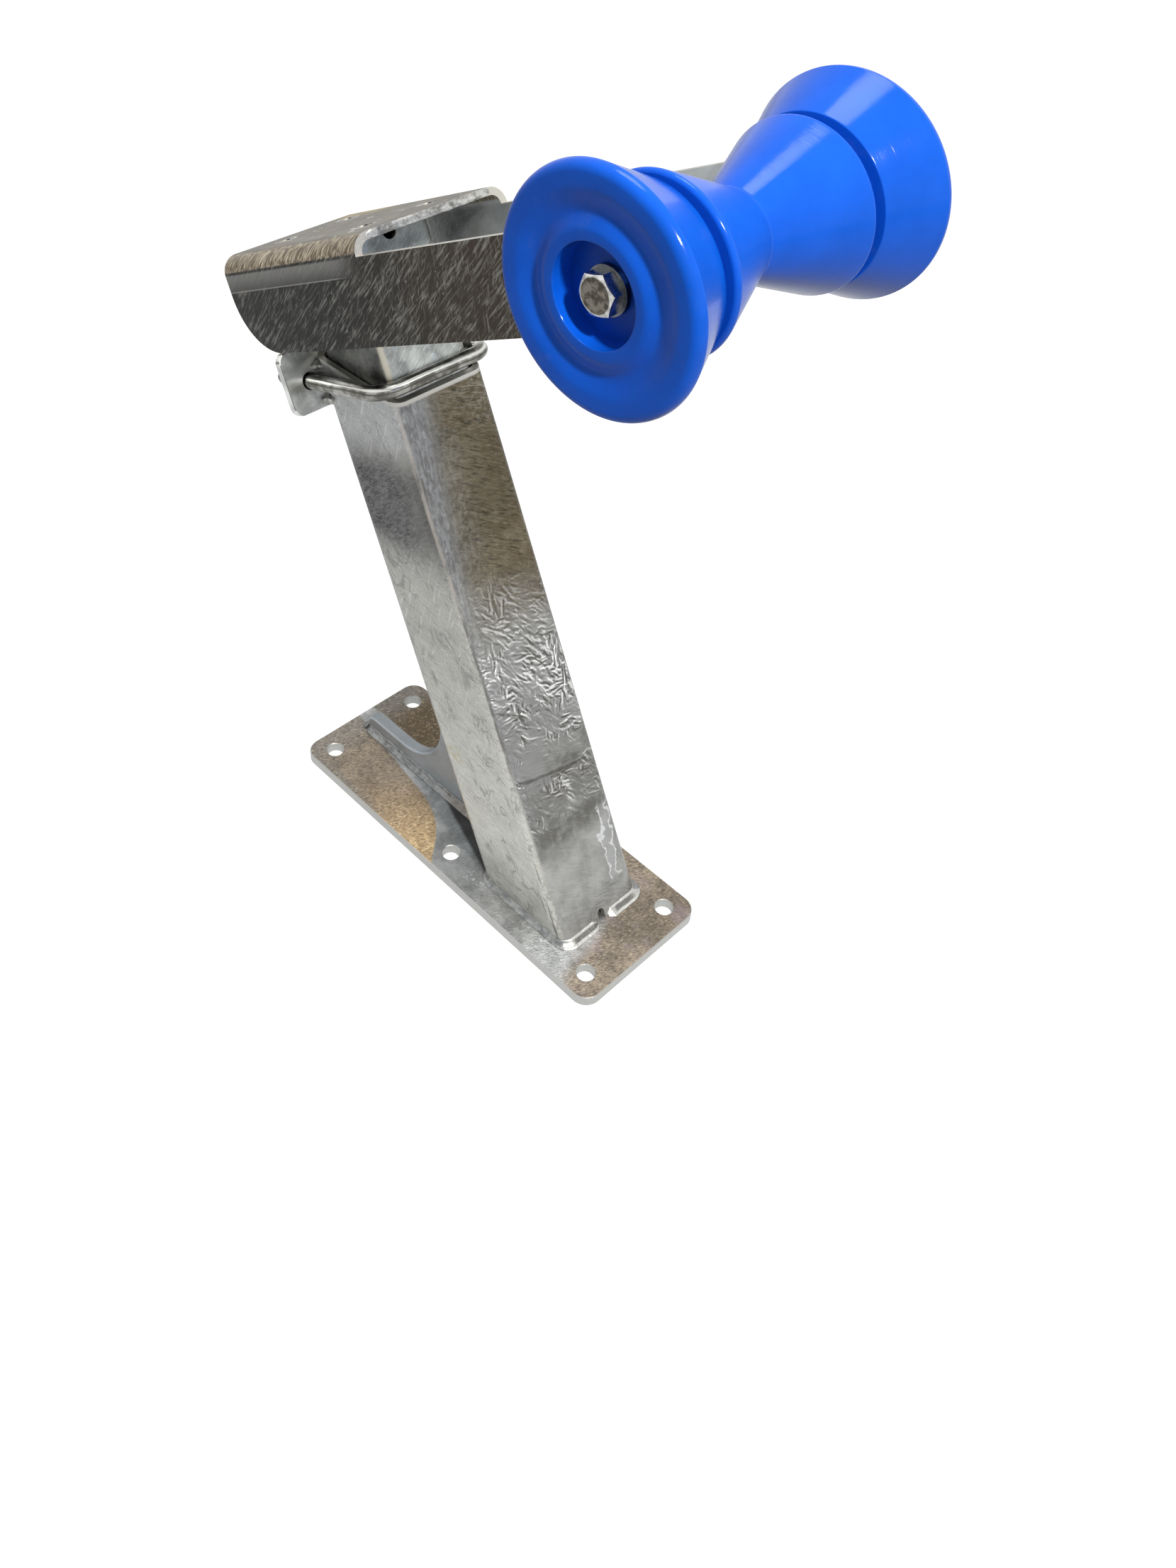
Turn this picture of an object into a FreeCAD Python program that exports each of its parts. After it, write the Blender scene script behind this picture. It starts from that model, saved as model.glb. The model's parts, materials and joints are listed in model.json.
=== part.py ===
import FreeCAD, Part

import math
import os
from FreeCAD import Placement, Rotation, Vector

# Boat trailer winch post: a leaning square post on a base plate, with a sliding head whose fork
# carries a bow roller and two bell rollers. Sizes are in millimetres.
# Origin at the centre of the base plate's underside, +Z up, +X towards the boat, +Y to the left,
# along the axle.

# Base plate and its bolt holes
PLATE_L = 310.0
PLATE_W = 115.0
PLATE_T = 8.0
PLATE_CORNER_R = 12.0
PLATE_HOLE_D = 13.0
PLATE_HOLE_MARGIN = 17.5
EDGE_CHAMFER = 0.6

# Outer post: square tube, leaning back, its top cut level with the base plate
LEAN = 26.0
POST_X = 74.0
OUTER_A = 75.0
OUTER_T = 4.0
OUTER_R = 9.0
POST_RISE = 358.0
DRAIN_W = 6.0
DRAIN_H = 8.0

# Gusset behind the post
GUSSET_T = 10.0
GUSSET_BACK_X = -140.0
GUSSET_FOOT_H = 14.5
GUSSET_NOSE_R = 8.0
GUSSET_ARC_R = 44.0
GUSSET_EDGE_X = -54.0
GUSSET_TOP_W = 15.0
GUSSET_ROUND = 2.5

# Weld beads
WELD_LEG = 5.0
WELD_BULGE = 1.12
WELD_CROWN_UP = 0.55
WELD_CROWN_OUT = 0.62
WELD_WRAP = 0.6
WELD_END_GAP = 0.3

# Clamp plate on the post's back, and the U-bolt that clamps the inner post
CLAMP_W = 124.0
CLAMP_H = 43.0
CLAMP_T = 6.0
CLAMP_CORNER_R = 7.0
CLAMP_RISE = 7.1
CLAMP_HOLE_D = 12.0
CLAMP_WELD_LEG = 3.0
CLAMP_WELD_LEN = 9.0
CLAMP_WELD_SPREAD = 1.0
UBOLT_D = 10.0
UBOLT_TILT = 8.0
UBOLT_BEND_R = 14.0
UBOLT_SIDE_GAP = 2.0
UBOLT_LIFT = 4.5
UBOLT_LEG = 108.0
UBOLT_NUT_AF = 17.0
UBOLT_NUT_H = 8.4
UBOLT_WASHER_D = 20.0
UBOLT_WASHER_BORE = 10.8
UBOLT_WASHER_T = 2.0

# Inner post: square tube that slides in the outer post
SLIDE_GAP = 1.0
INNER_T = 3.0
INNER_R = 6.5
INNER_LEN = 330.0
VENT_D = 10.0
VENT_DROP = 4.0

# Head: one folded plate, a channel that opens downwards, whose flanges run on as two fork arms
HEAD_W = 117.0
HEAD_T = 5.0
HEAD_H = 65.0
HEAD_FOLD_R = 12.0
HEAD_TAIL = 75.0
HEAD_TAIL_R = 40.0
HEAD_WEB_FRONT = 78.0
FORK_REACH = 300.0
WINCH_HOLE_D = 11.0
WINCH_PITCH_LONG = 90.0
WINCH_PITCH_WIDE = 50.0
HEAD_WELD_LEG = 4.0
REST_GAP = 0.3

# Axle bolt with its washers and nut
AXLE_D = 12.0
AXLE_TIP = 7.4
AXLE_HEAD_AF = 19.0
AXLE_HEAD_H = 7.5
AXLE_HEAD_TURN = 16.0
AXLE_NUT_H = 12.0
AXLE_WASHER_D = 24.0
AXLE_WASHER_BORE = 13.0
AXLE_WASHER_T = 2.5
ARM_HOLE_GAP = 0.25
HEX_CHAMFER = 30.0
HEX_FACE = 0.95
THREAD_CHAMFER = 1.0
NUT_COLLAR_H = 3.0
NUT_COLLAR_WALL = 1.6

# Rollers
ROLLER_RUN_GAP = 0.08
ROLLER_SIDE_GAP = 1.5
ROLLER_WAIST_R = 27.0
ROLLER_WAIST_CURVE_R = 45.0
ROLLER_FLARE = 26.5
ROLLER_LIP_R = 2.5
BELL_SIDE_GAP = 0.3
BELL_L = 35.7
BELL_BACK_R = 48.0
BELL_RIM_R = 59.5
BELL_RIM_ROUND = 4.5
BELL_NECK_IN = 0.1
BELL_NECK_DROP = 1.0
BELL_BARREL_SAG = 1.0
BELL_EDGE_R = 1.5
BELL_BOSS_R = 33.0
BELL_DISH = 4.0
BELL_VALLEY_R = 39.0
BELL_POCKET_R = 24.6
BELL_POCKET_DEPTH = 12.0

# Shape of the dished ring: places across it and down it, as shares of its width and depth
BELL_SLOPE_IN = 0.32
BELL_SLOPE_DEPTH = 0.8
BELL_SLOPE_MID_DEPTH = 0.3
BELL_RISE_IN = 0.25
BELL_RISE_DEPTH = 0.4

EPS = 0.05
FAR = 1000.0

SIN = math.sin(math.radians(LEAN))
COS = math.cos(math.radians(LEAN))
TAN = SIN / COS
OUTER_HALF = OUTER_A / 2
INNER_A = OUTER_A - 2 * (OUTER_T + SLIDE_GAP)
INNER_HALF = INNER_A / 2

# Lengths along the post's axis, from the base plate's top face
FRONT_RIM = (POST_RISE - OUTER_HALF * SIN) / COS
BACK_RIM = (POST_RISE + OUTER_HALF * SIN) / COS
CLAMP_TOP = BACK_RIM + CLAMP_RISE
HEAD_TOP = CLAMP_TOP + REST_GAP + HEAD_H
INNER_TOP = HEAD_TOP - HEAD_T

UBOLT_HALF = OUTER_HALF + UBOLT_SIDE_GAP + UBOLT_D / 2
UBOLT_FRONT = INNER_HALF + REST_GAP + UBOLT_D / 2
UBOLT_LEVEL = FRONT_RIM + UBOLT_LIFT + UBOLT_D / 2
UBOLT_SLOPE = math.tan(math.radians(UBOLT_TILT))

ARM_HALF_H = (HEAD_H - HEAD_FOLD_R) / 2
AXLE_DROP = HEAD_FOLD_R + ARM_HALF_H
AXLE_X = POST_X + FORK_REACH * COS - (HEAD_TOP - AXLE_DROP) * SIN
AXLE_Z = PLATE_T + FORK_REACH * SIN + (HEAD_TOP - AXLE_DROP) * COS
BELL_BACK = HEAD_W / 2 + BELL_SIDE_GAP
BELL_FLOOR = BELL_BACK + BELL_L - BELL_POCKET_DEPTH
AXLE_SEAT = BELL_FLOOR + REST_GAP + AXLE_WASHER_T
BORE_R = AXLE_D / 2 + ROLLER_RUN_GAP
AXLE_LEN = 2 * AXLE_SEAT + AXLE_NUT_H + AXLE_TIP
ROLLER_L = HEAD_W - 2 * (HEAD_T + ROLLER_SIDE_GAP)

X_AXIS = Vector(1, 0, 0)
Y_AXIS = Vector(0, 1, 0)
Z_AXIS = Vector(0, 0, 1)

# The post's own frame: x square to the post, y across, z up the post from the plate's top face
POST_FRAME = Placement(Vector(POST_X, 0, PLATE_T), Rotation(Y_AXIS, -LEAN))


def on_post(shape):
    placed = shape.copy()
    placed.Placement = POST_FRAME.multiply(placed.Placement)
    return placed


def box(x0, x1, y0, y1, z0, z1):
    return Part.makeBox(x1 - x0, y1 - y0, z1 - z0, Vector(x0, y0, z0))


def rounded_rectangle(length, width, radius, centre):
    """Closed wire in the XY plane with its corners rounded."""
    half_l = length / 2
    half_w = width / 2
    slant = radius * (1 - math.sqrt(0.5))
    edges = []
    for turn in range(4):
        swap = turn % 2
        a = half_w if swap else half_l
        b = half_l if swap else half_w
        spin = Rotation(Z_AXIS, 90 * turn)
        start = spin.multVec(Vector(a, -(b - radius), 0)) + centre
        side_end = spin.multVec(Vector(a, b - radius, 0)) + centre
        middle = spin.multVec(Vector(a - slant, b - slant, 0)) + centre
        corner_end = spin.multVec(Vector(a - radius, b, 0)) + centre
        edges.append(Part.makeLine(start, side_end))
        edges.append(Part.Arc(side_end, middle, corner_end).toShape())
    return Part.Wire(edges)


def bar(length, width, radius, z0, z1):
    wire = rounded_rectangle(length, width, radius, Vector(0, 0, z0))
    return Part.Face(wire).extrude(Vector(0, 0, z1 - z0))


def square_tube(side, wall, radius, z0, z1):
    outside = bar(side, side, radius, z0, z1)
    inside = side - 2 * wall
    return outside.cut(bar(inside, inside, radius - wall, z0 - 1, z1 + 1))


def weld_bead(start, end, leg_a, leg_b):
    """Fillet bead along a line; the legs are the vectors up its two surfaces."""
    crown = start + (leg_a + leg_b) * (0.5 * WELD_BULGE)
    tip_a = start + leg_a
    tip_b = start + leg_b
    edges = [
        Part.makeLine(start, tip_a),
        Part.Arc(tip_a, crown, tip_b).toShape(),
        Part.makeLine(tip_b, start),
    ]
    return Part.Face(Part.Wire(edges)).extrude(end - start)


def hexagon(across_flats, height, turn):
    """Hexagonal prism up +Z from the origin."""
    radius = across_flats / math.sqrt(3)
    corners = []
    for corner in range(7):
        angle = math.radians(turn + 60 * corner)
        corners.append(Vector(radius * math.cos(angle), radius * math.sin(angle), 0))
    return Part.Face(Part.makePolygon(corners)).extrude(Vector(0, 0, height))


def chamfered_hexagon(across_flats, height, turn, both_ends):
    """Hexagonal prism whose corners are turned off at the top, and at the foot if both_ends."""
    prism = hexagon(across_flats, height, turn)
    face_r = HEX_FACE * across_flats / 2
    rise = across_flats * math.tan(math.radians(HEX_CHAMFER))
    wide_r = face_r + across_flats
    top_cone = Part.makeCone(wide_r, face_r, rise, Vector(0, 0, height - rise))
    prism = prism.common(top_cone)
    if both_ends:
        prism = prism.common(Part.makeCone(face_r, wide_r, rise))
    return prism


def chamfer_cut(diameter, end, inwards):
    """What comes off a rod's end, so that its edge is chamfered."""
    radius = diameter / 2
    length = 2 * THREAD_CHAMFER
    kept = Part.makeCone(radius - THREAD_CHAMFER, radius + THREAD_CHAMFER, length, end, inwards)
    return Part.makeCylinder(diameter, length, end, inwards).cut(kept)


def revolve_profile(edges):
    """Solid of revolution about Z from a closed profile drawn as (radius, 0, height)."""
    return Part.Face(Part.Wire(edges)).revolve(Vector(0, 0, 0), Z_AXIS, 360)


def on_axle(shape):
    """Turns a shape drawn along +Z so that it lies along +Y on the axle."""
    placed = shape.copy()
    along_y = Placement(Vector(AXLE_X, 0, AXLE_Z), Rotation(X_AXIS, -90))
    placed.Placement = along_y.multiply(placed.Placement)
    return placed


def mirrored(shape):
    return shape.mirror(Vector(0, 0, 0), Y_AXIS)


def base_plate():
    wire = rounded_rectangle(PLATE_L, PLATE_W, PLATE_CORNER_R, Vector(0, 0, 0))
    plate = Part.Face(wire).extrude(Vector(0, 0, PLATE_T))
    end_x = PLATE_L / 2 - PLATE_HOLE_MARGIN
    side_y = PLATE_W / 2 - PLATE_HOLE_MARGIN
    for x in (-end_x, 0, end_x):
        for y in (-side_y, side_y):
            plate = plate.cut(Part.makeCylinder(PLATE_HOLE_D / 2, PLATE_T + 2, Vector(x, y, -1)))
    rim = [edge for edge in plate.Edges if min(v.Z for v in edge.Vertexes) > PLATE_T - EPS]
    return plate.makeChamfer(EDGE_CHAMFER, rim)


def post_slab():
    """Everything between the base plate's top face and the level of the post's top."""
    return box(-FAR, FAR, -FAR, FAR, PLATE_T, PLATE_T + POST_RISE)


def outer_post_bar():
    return on_post(bar(OUTER_A, OUTER_A, OUTER_R, -OUTER_A, HEAD_TOP))


def drain_cut(extra):
    """Arched drain at the foot of the post's front wall."""
    half = DRAIN_W / 2 + extra
    spring = PLATE_T + DRAIN_H - DRAIN_W / 2
    middle_x = POST_X + (OUTER_HALF - OUTER_T) / COS
    reach = OUTER_T + 2 * WELD_LEG
    slot = box(middle_x - reach, middle_x + reach, -half, half, PLATE_T - 1, spring)
    arch = Part.makeCylinder(half, 2 * reach, Vector(middle_x - reach, 0, spring), X_AXIS)
    return slot.fuse(arch)


def outer_post():
    tube = on_post(square_tube(OUTER_A, OUTER_T, OUTER_R, -OUTER_A, HEAD_TOP))
    return tube.common(post_slab()).cut(drain_cut(0))


def post_back_x(z):
    """Where the post's back face lies at a height."""
    return POST_X - OUTER_HALF / COS - (z - PLATE_T) * TAN


def gusset_top_z():
    """Height at which the gusset's upright edge comes within its blunt end's width of the post."""
    return PLATE_T + (POST_X - OUTER_HALF / COS - GUSSET_EDGE_X - GUSSET_TOP_W / COS) / TAN


def gusset():
    """Plate in the XZ plane with a low foot, a concave sweep and a blunt end on the post."""
    foot_z = PLATE_T + GUSSET_FOOT_H
    nose_slant = GUSSET_NOSE_R * (1 - math.sqrt(0.5))
    arc_slant = GUSSET_ARC_R * math.sqrt(0.5)
    arc_x = GUSSET_EDGE_X - GUSSET_ARC_R
    top_z = gusset_top_z()
    end_z = top_z + GUSSET_TOP_W * SIN
    heel = Vector(GUSSET_BACK_X, 0, PLATE_T)
    nose_low = Vector(GUSSET_BACK_X, 0, foot_z - GUSSET_NOSE_R)
    nose_mid = Vector(GUSSET_BACK_X + nose_slant, 0, foot_z - nose_slant)
    nose_top = Vector(GUSSET_BACK_X + GUSSET_NOSE_R, 0, foot_z)
    sweep_start = Vector(arc_x, 0, foot_z)
    sweep_mid = Vector(arc_x + arc_slant, 0, foot_z + GUSSET_ARC_R - arc_slant)
    sweep_end = Vector(GUSSET_EDGE_X, 0, foot_z + GUSSET_ARC_R)
    top_back = Vector(GUSSET_EDGE_X, 0, top_z)
    top_front = Vector(post_back_x(end_z), 0, end_z)
    toe = Vector(post_back_x(PLATE_T), 0, PLATE_T)
    edges = [
        Part.makeLine(heel, nose_low),
        Part.Arc(nose_low, nose_mid, nose_top).toShape(),
        Part.makeLine(nose_top, sweep_start),
        Part.Arc(sweep_start, sweep_mid, sweep_end).toShape(),
        Part.makeLine(sweep_end, top_back),
        Part.makeLine(top_back, top_front),
        Part.makeLine(top_front, toe),
        Part.makeLine(toe, heel),
    ]
    plate = Part.Face(Part.Wire(edges)).extrude(Vector(0, GUSSET_T, 0))
    plate.translate(Vector(0, -GUSSET_T / 2, 0))
    free = [edge for edge in plate.Edges if is_free_edge(edge, nose_top.z - EPS, top_z + EPS)]
    return plate.makeFillet(GUSSET_ROUND, free)


def is_free_edge(edge, low, high):
    """True for an edge along a side of the gusset, clear of its foot and of its end on the post."""
    a = edge.Vertexes[0].Point
    b = edge.Vertexes[-1].Point
    along_side = abs(a.y - b.y) < EPS
    return along_side and min(a.z, b.z) > low and max(a.z, b.z) < high


def foot_weld():
    """Fillet round the post's foot, open at the drain and where the gusset stands."""
    crown = (WELD_LEG * WELD_CROWN_UP, WELD_LEG * WELD_CROWN_OUT)
    rings = []
    for rise, offset in ((0.0, WELD_LEG), crown, (WELD_LEG, EPS)):
        centre = Vector(POST_X - rise * TAN, 0, PLATE_T + rise)
        length = OUTER_A / COS + 2 * offset
        width = OUTER_A + 2 * offset
        rings.append(rounded_rectangle(length, width, OUTER_R + offset, centre))
    bead = Part.makeLoft(rings, True, True).cut(outer_post_bar())
    half = GUSSET_T / 2 + WELD_END_GAP
    behind = box(GUSSET_BACK_X, POST_X, -half, half, PLATE_T, PLATE_T + 2 * WELD_LEG)
    return bead.cut(drain_cut(EPS)).cut(behind)


def gusset_weld(foot):
    """Beads along both sides of the gusset's foot, round its nose and up both sides at the post."""
    beads = []
    nose_x = GUSSET_BACK_X
    toe_x = post_back_x(PLATE_T)
    for side in (-1, 1):
        y = side * GUSSET_T / 2
        out = Vector(0, side * WELD_LEG, 0)
        up = Vector(0, 0, WELD_LEG)
        beads.append(weld_bead(Vector(nose_x, y, PLATE_T), Vector(toe_x, y, PLATE_T), out, up))
    across = GUSSET_T / 2 + WELD_LEG * WELD_WRAP
    back = Vector(-WELD_LEG, 0, 0)
    nose_start = Vector(nose_x, -across, PLATE_T)
    nose_end = Vector(nose_x, across, PLATE_T)
    beads.append(weld_bead(nose_start, nose_end, back, Vector(0, 0, WELD_LEG)))
    bead = beads[0].fuse(beads[1:]).cut(foot).cut(outer_post_bar())
    shell = list(bead.Solids)
    low = (2 * WELD_LEG + OUTER_HALF * SIN) / COS
    high = (gusset_top_z() + GUSSET_TOP_W * SIN - PLATE_T + OUTER_HALF * SIN) / COS
    for side in (-1, 1):
        y = side * GUSSET_T / 2
        start = Vector(-OUTER_HALF, y, low)
        end = Vector(-OUTER_HALF, y, high)
        out = Vector(0, side * WELD_LEG, 0)
        back = Vector(-WELD_LEG, 0, 0)
        shell.append(on_post(weld_bead(start, end, out, back)))
    return Part.makeCompound(shell)


def ubolt_level(x):
    """Length up the post at which the U-bolt's axis crosses the place x, in the post's frame."""
    return UBOLT_LEVEL + (UBOLT_FRONT - x) * UBOLT_SLOPE


def clamp_plate():
    centre = Vector(0, 0, 0)
    plate = Part.Face(rounded_rectangle(CLAMP_H, CLAMP_W, CLAMP_CORNER_R, centre))
    plate = plate.extrude(Vector(0, 0, CLAMP_T))
    rims = [edge for edge in plate.Edges if len({round(v.Z, 3) for v in edge.Vertexes}) == 1]
    plate = plate.makeChamfer(EDGE_CHAMFER, rims)
    plate.Placement = Placement(Vector(-OUTER_HALF, 0, CLAMP_TOP - CLAMP_H / 2), Rotation(Y_AXIS, -90))
    hole_z = ubolt_level(-OUTER_HALF - CLAMP_T / 2)
    for y in (-UBOLT_HALF, UBOLT_HALF):
        start = Vector(-OUTER_HALF - CLAMP_T - 1, y, hole_z)
        plate = plate.cut(Part.makeCylinder(CLAMP_HOLE_D / 2, CLAMP_T + 2, start, X_AXIS))
    return on_post(plate)


def clamp_plate_weld():
    """Short beads in the groove between the clamp plate and the post's rounded back corners."""
    beads = []
    lowest = CLAMP_TOP - CLAMP_H
    highest = BACK_RIM - OUTER_R * TAN
    for side in (-1, 1):
        for z0 in (lowest, highest - CLAMP_WELD_LEN):
            root = Vector(-OUTER_HALF, side * (OUTER_HALF - OUTER_R), z0)
            edge = Vector(-OUTER_HALF, side * (OUTER_HALF + CLAMP_WELD_SPREAD), z0)
            flank = Vector(-OUTER_HALF + OUTER_R, side * (OUTER_HALF + EPS), z0)
            inner = Vector(-OUTER_HALF + OUTER_R, root.y, z0)
            outline = Part.makePolygon([root, edge, flank, inner, root])
            bead = Part.Face(outline).extrude(Vector(0, 0, CLAMP_WELD_LEN))
            beads.append(on_post(bead).cut(outer_post_bar()))
    return Part.makeCompound(beads)


def ubolt_frame():
    """The U-bolt's own frame: x out of its closed end, y across."""
    tilt = Placement(Vector(UBOLT_FRONT, 0, UBOLT_LEVEL), Rotation(Y_AXIS, UBOLT_TILT))
    return POST_FRAME.multiply(tilt)


def u_bolt():
    bend = UBOLT_BEND_R
    slant = bend * (1 - math.sqrt(0.5))
    half = UBOLT_HALF
    legs = [
        Vector(-UBOLT_LEG, -half, 0),
        Vector(-bend, -half, 0),
        Vector(-slant, -half + slant, 0),
        Vector(0, -half + bend, 0),
    ]
    far_legs = [Vector(point.x, -point.y, 0) for point in reversed(legs)]
    edges = [
        Part.makeLine(legs[0], legs[1]),
        Part.Arc(legs[1], legs[2], legs[3]).toShape(),
        Part.makeLine(legs[3], far_legs[0]),
        Part.Arc(far_legs[0], far_legs[1], far_legs[2]).toShape(),
        Part.makeLine(far_legs[2], far_legs[3]),
    ]
    section = Part.Wire([Part.makeCircle(UBOLT_D / 2, legs[0], X_AXIS)])
    rod = Part.Wire(edges).makePipeShell([section], True, True)
    for y in (-half, half):
        rod = rod.cut(chamfer_cut(UBOLT_D, Vector(-UBOLT_LEG, y, 0), X_AXIS))
    rod.Placement = ubolt_frame()
    return rod


def u_bolt_washers():
    washers = []
    back = -OUTER_HALF - CLAMP_T
    level = ubolt_level(back - UBOLT_WASHER_T / 2)
    for y in (-UBOLT_HALF, UBOLT_HALF):
        start = Vector(back - UBOLT_WASHER_T, y, level)
        disc = Part.makeCylinder(UBOLT_WASHER_D / 2, UBOLT_WASHER_T, start, X_AXIS)
        bore = Part.makeCylinder(UBOLT_WASHER_BORE / 2, UBOLT_WASHER_T, start, X_AXIS)
        washers.append(on_post(disc.cut(bore)))
    return Part.makeCompound(washers)


def u_bolt_nuts():
    """Nuts square to the tilted legs, each bearing on its washer at one edge."""
    nuts = []
    tilt = math.radians(UBOLT_TILT)
    seat = (UBOLT_FRONT + OUTER_HALF + CLAMP_T + UBOLT_WASHER_T) / math.cos(tilt)
    lift = UBOLT_NUT_AF / math.sqrt(3) * math.tan(tilt)
    for y in (-UBOLT_HALF, UBOLT_HALF):
        nut = chamfered_hexagon(UBOLT_NUT_AF, UBOLT_NUT_H, 0, True)
        nut = nut.cut(Part.makeCylinder(UBOLT_D / 2 + EPS, UBOLT_NUT_H))
        nut.Placement = Placement(Vector(-seat - lift - EPS, y, 0), Rotation(Y_AXIS, -90))
        placed = nut.copy()
        placed.Placement = ubolt_frame().multiply(nut.Placement)
        nuts.append(placed)
    return Part.makeCompound(nuts)


def inner_post():
    tube = square_tube(INNER_A, INNER_T, INNER_R, INNER_TOP - INNER_LEN, INNER_TOP)
    vent_start = Vector(INNER_HALF - 2 * INNER_T, 0, INNER_TOP - VENT_DROP)
    return on_post(tube.cut(Part.makeCylinder(VENT_D / 2, 3 * INNER_T, vent_start, X_AXIS)))


def head_side():
    """Outline of the head seen from the side, in the post's frame: tail, web and round-ended arms."""
    top = HEAD_TOP
    low = HEAD_TOP - HEAD_H
    shoulder = HEAD_TOP - HEAD_FOLD_R
    axle = HEAD_TOP - AXLE_DROP
    slant = HEAD_TAIL_R * (1 - math.sqrt(0.5))
    tail = -HEAD_TAIL
    points = [
        Vector(tail, 0, low + HEAD_TAIL_R),
        Vector(tail, 0, top),
        Vector(HEAD_WEB_FRONT, 0, top),
        Vector(HEAD_WEB_FRONT, 0, shoulder),
        Vector(FORK_REACH, 0, shoulder),
    ]
    edges = [Part.makeLine(a, b) for a, b in zip(points, points[1:])]
    nose = Vector(FORK_REACH + ARM_HALF_H, 0, axle)
    arm_low = Vector(FORK_REACH, 0, low)
    edges.append(Part.Arc(points[-1], nose, arm_low).toShape())
    tail_low = Vector(tail + HEAD_TAIL_R, 0, low)
    edges.append(Part.makeLine(arm_low, tail_low))
    edges.append(Part.Arc(tail_low, Vector(tail + slant, 0, low + slant), points[0]).toShape())
    face = Part.Face(Part.Wire(edges))
    side = face.extrude(Vector(0, HEAD_W + 2, 0))
    side.translate(Vector(0, -HEAD_W / 2 - 1, 0))
    return side


def head_channel():
    start = -HEAD_TAIL - 1
    end = FORK_REACH + HEAD_H
    half = HEAD_W / 2
    outside = box(start, end, -half, half, HEAD_TOP - HEAD_H - 1, HEAD_TOP)
    inside = box(start - 1, end + 1, -half + HEAD_T, half - HEAD_T, 0, HEAD_TOP - HEAD_T)
    folds = [edge for edge in outside.Edges if is_top_fold(edge, half, HEAD_TOP)]
    outside = outside.makeFillet(HEAD_FOLD_R, folds)
    inner_folds = [edge for edge in inside.Edges if is_top_fold(edge, half - HEAD_T, HEAD_TOP - HEAD_T)]
    inside = inside.makeFillet(HEAD_FOLD_R - HEAD_T, inner_folds)
    channel = outside.cut(inside).common(head_side())
    hole_start = Vector(FORK_REACH, -half - 1, HEAD_TOP - AXLE_DROP)
    hole_r = AXLE_D / 2 + ARM_HOLE_GAP
    channel = channel.cut(Part.makeCylinder(hole_r, HEAD_W + 2, hole_start, Y_AXIS))
    for x in (-WINCH_PITCH_LONG / 2, WINCH_PITCH_LONG / 2):
        for y in (-WINCH_PITCH_WIDE / 2, WINCH_PITCH_WIDE / 2):
            foot = Vector(x, y, HEAD_TOP - HEAD_T - 1)
            channel = channel.cut(Part.makeCylinder(WINCH_HOLE_D / 2, HEAD_T + 2, foot))
    return on_post(channel)


def is_top_fold(edge, half, top):
    """True for a lengthwise edge of a box at its top corners."""
    a = edge.Vertexes[0].Point
    b = edge.Vertexes[-1].Point
    lengthwise = abs(a.y - b.y) < EPS and abs(a.z - b.z) < EPS
    return lengthwise and abs(a.z - top) < EPS and abs(abs(a.y) - half) < EPS


def head_weld():
    """Beads under the web, along the inner post's two sides and its back."""
    beads = []
    run = INNER_HALF - INNER_R
    down = Vector(0, 0, -HEAD_WELD_LEG)
    for side in (-1, 1):
        y = side * INNER_HALF
        out = Vector(0, side * HEAD_WELD_LEG, 0)
        beads.append(weld_bead(Vector(-run, y, INNER_TOP), Vector(run, y, INNER_TOP), out, down))
    back = Vector(-HEAD_WELD_LEG, 0, 0)
    start = Vector(-INNER_HALF, -run, INNER_TOP)
    beads.append(weld_bead(start, Vector(-INNER_HALF, run, INNER_TOP), back, down))
    return on_post(Part.makeCompound(beads))


def axle_bolt():
    """Hexagon bolt whose head lies in the right bell."""
    head = chamfered_hexagon(AXLE_HEAD_AF, AXLE_HEAD_H, AXLE_HEAD_TURN, False)
    head.Placement = Placement(Vector(0, 0, -AXLE_SEAT), Rotation(X_AXIS, 180))
    shank = Part.makeCylinder(AXLE_D / 2, AXLE_LEN, Vector(0, 0, -AXLE_SEAT))
    tip = Vector(0, 0, AXLE_LEN - AXLE_SEAT)
    return on_axle(head.fuse(shank.cut(chamfer_cut(AXLE_D, tip, Vector(0, 0, -1)))))


def axle_washer():
    """Washer in the left bell's pocket, under the nut."""
    seat = Vector(0, 0, AXLE_SEAT - AXLE_WASHER_T)
    disc = Part.makeCylinder(AXLE_WASHER_D / 2, AXLE_WASHER_T, seat)
    return on_axle(disc.cut(Part.makeCylinder(AXLE_WASHER_BORE / 2, AXLE_WASHER_T, seat)))


def axle_nut():
    """Locking nut: a hexagon with a round collar that holds the nylon ring."""
    bore = Part.makeCylinder(AXLE_D / 2 + EPS, AXLE_NUT_H)
    hex_h = AXLE_NUT_H - NUT_COLLAR_H
    collar_r = AXLE_HEAD_AF / 2 - EPS
    body = chamfered_hexagon(AXLE_HEAD_AF, hex_h, 0, True)
    collar = Part.makeCylinder(collar_r, NUT_COLLAR_H, Vector(0, 0, hex_h))
    recess = Part.makeCylinder(collar_r - NUT_COLLAR_WALL, NUT_COLLAR_H, Vector(0, 0, hex_h))
    nut = body.fuse(collar.cut(recess)).cut(bore)
    nut.Placement = Placement(Vector(0, 0, AXLE_SEAT), Rotation())
    return on_axle(nut)


def nut_ring():
    """Nylon ring in the locking nut's collar."""
    start = Vector(0, 0, AXLE_SEAT + AXLE_NUT_H - NUT_COLLAR_H)
    height = NUT_COLLAR_H - 3 * EPS
    outer_r = AXLE_HEAD_AF / 2 - EPS - NUT_COLLAR_WALL
    ring = Part.makeCylinder(outer_r, height, start)
    return on_axle(ring.cut(Part.makeCylinder(AXLE_D / 2, height, start)))


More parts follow.
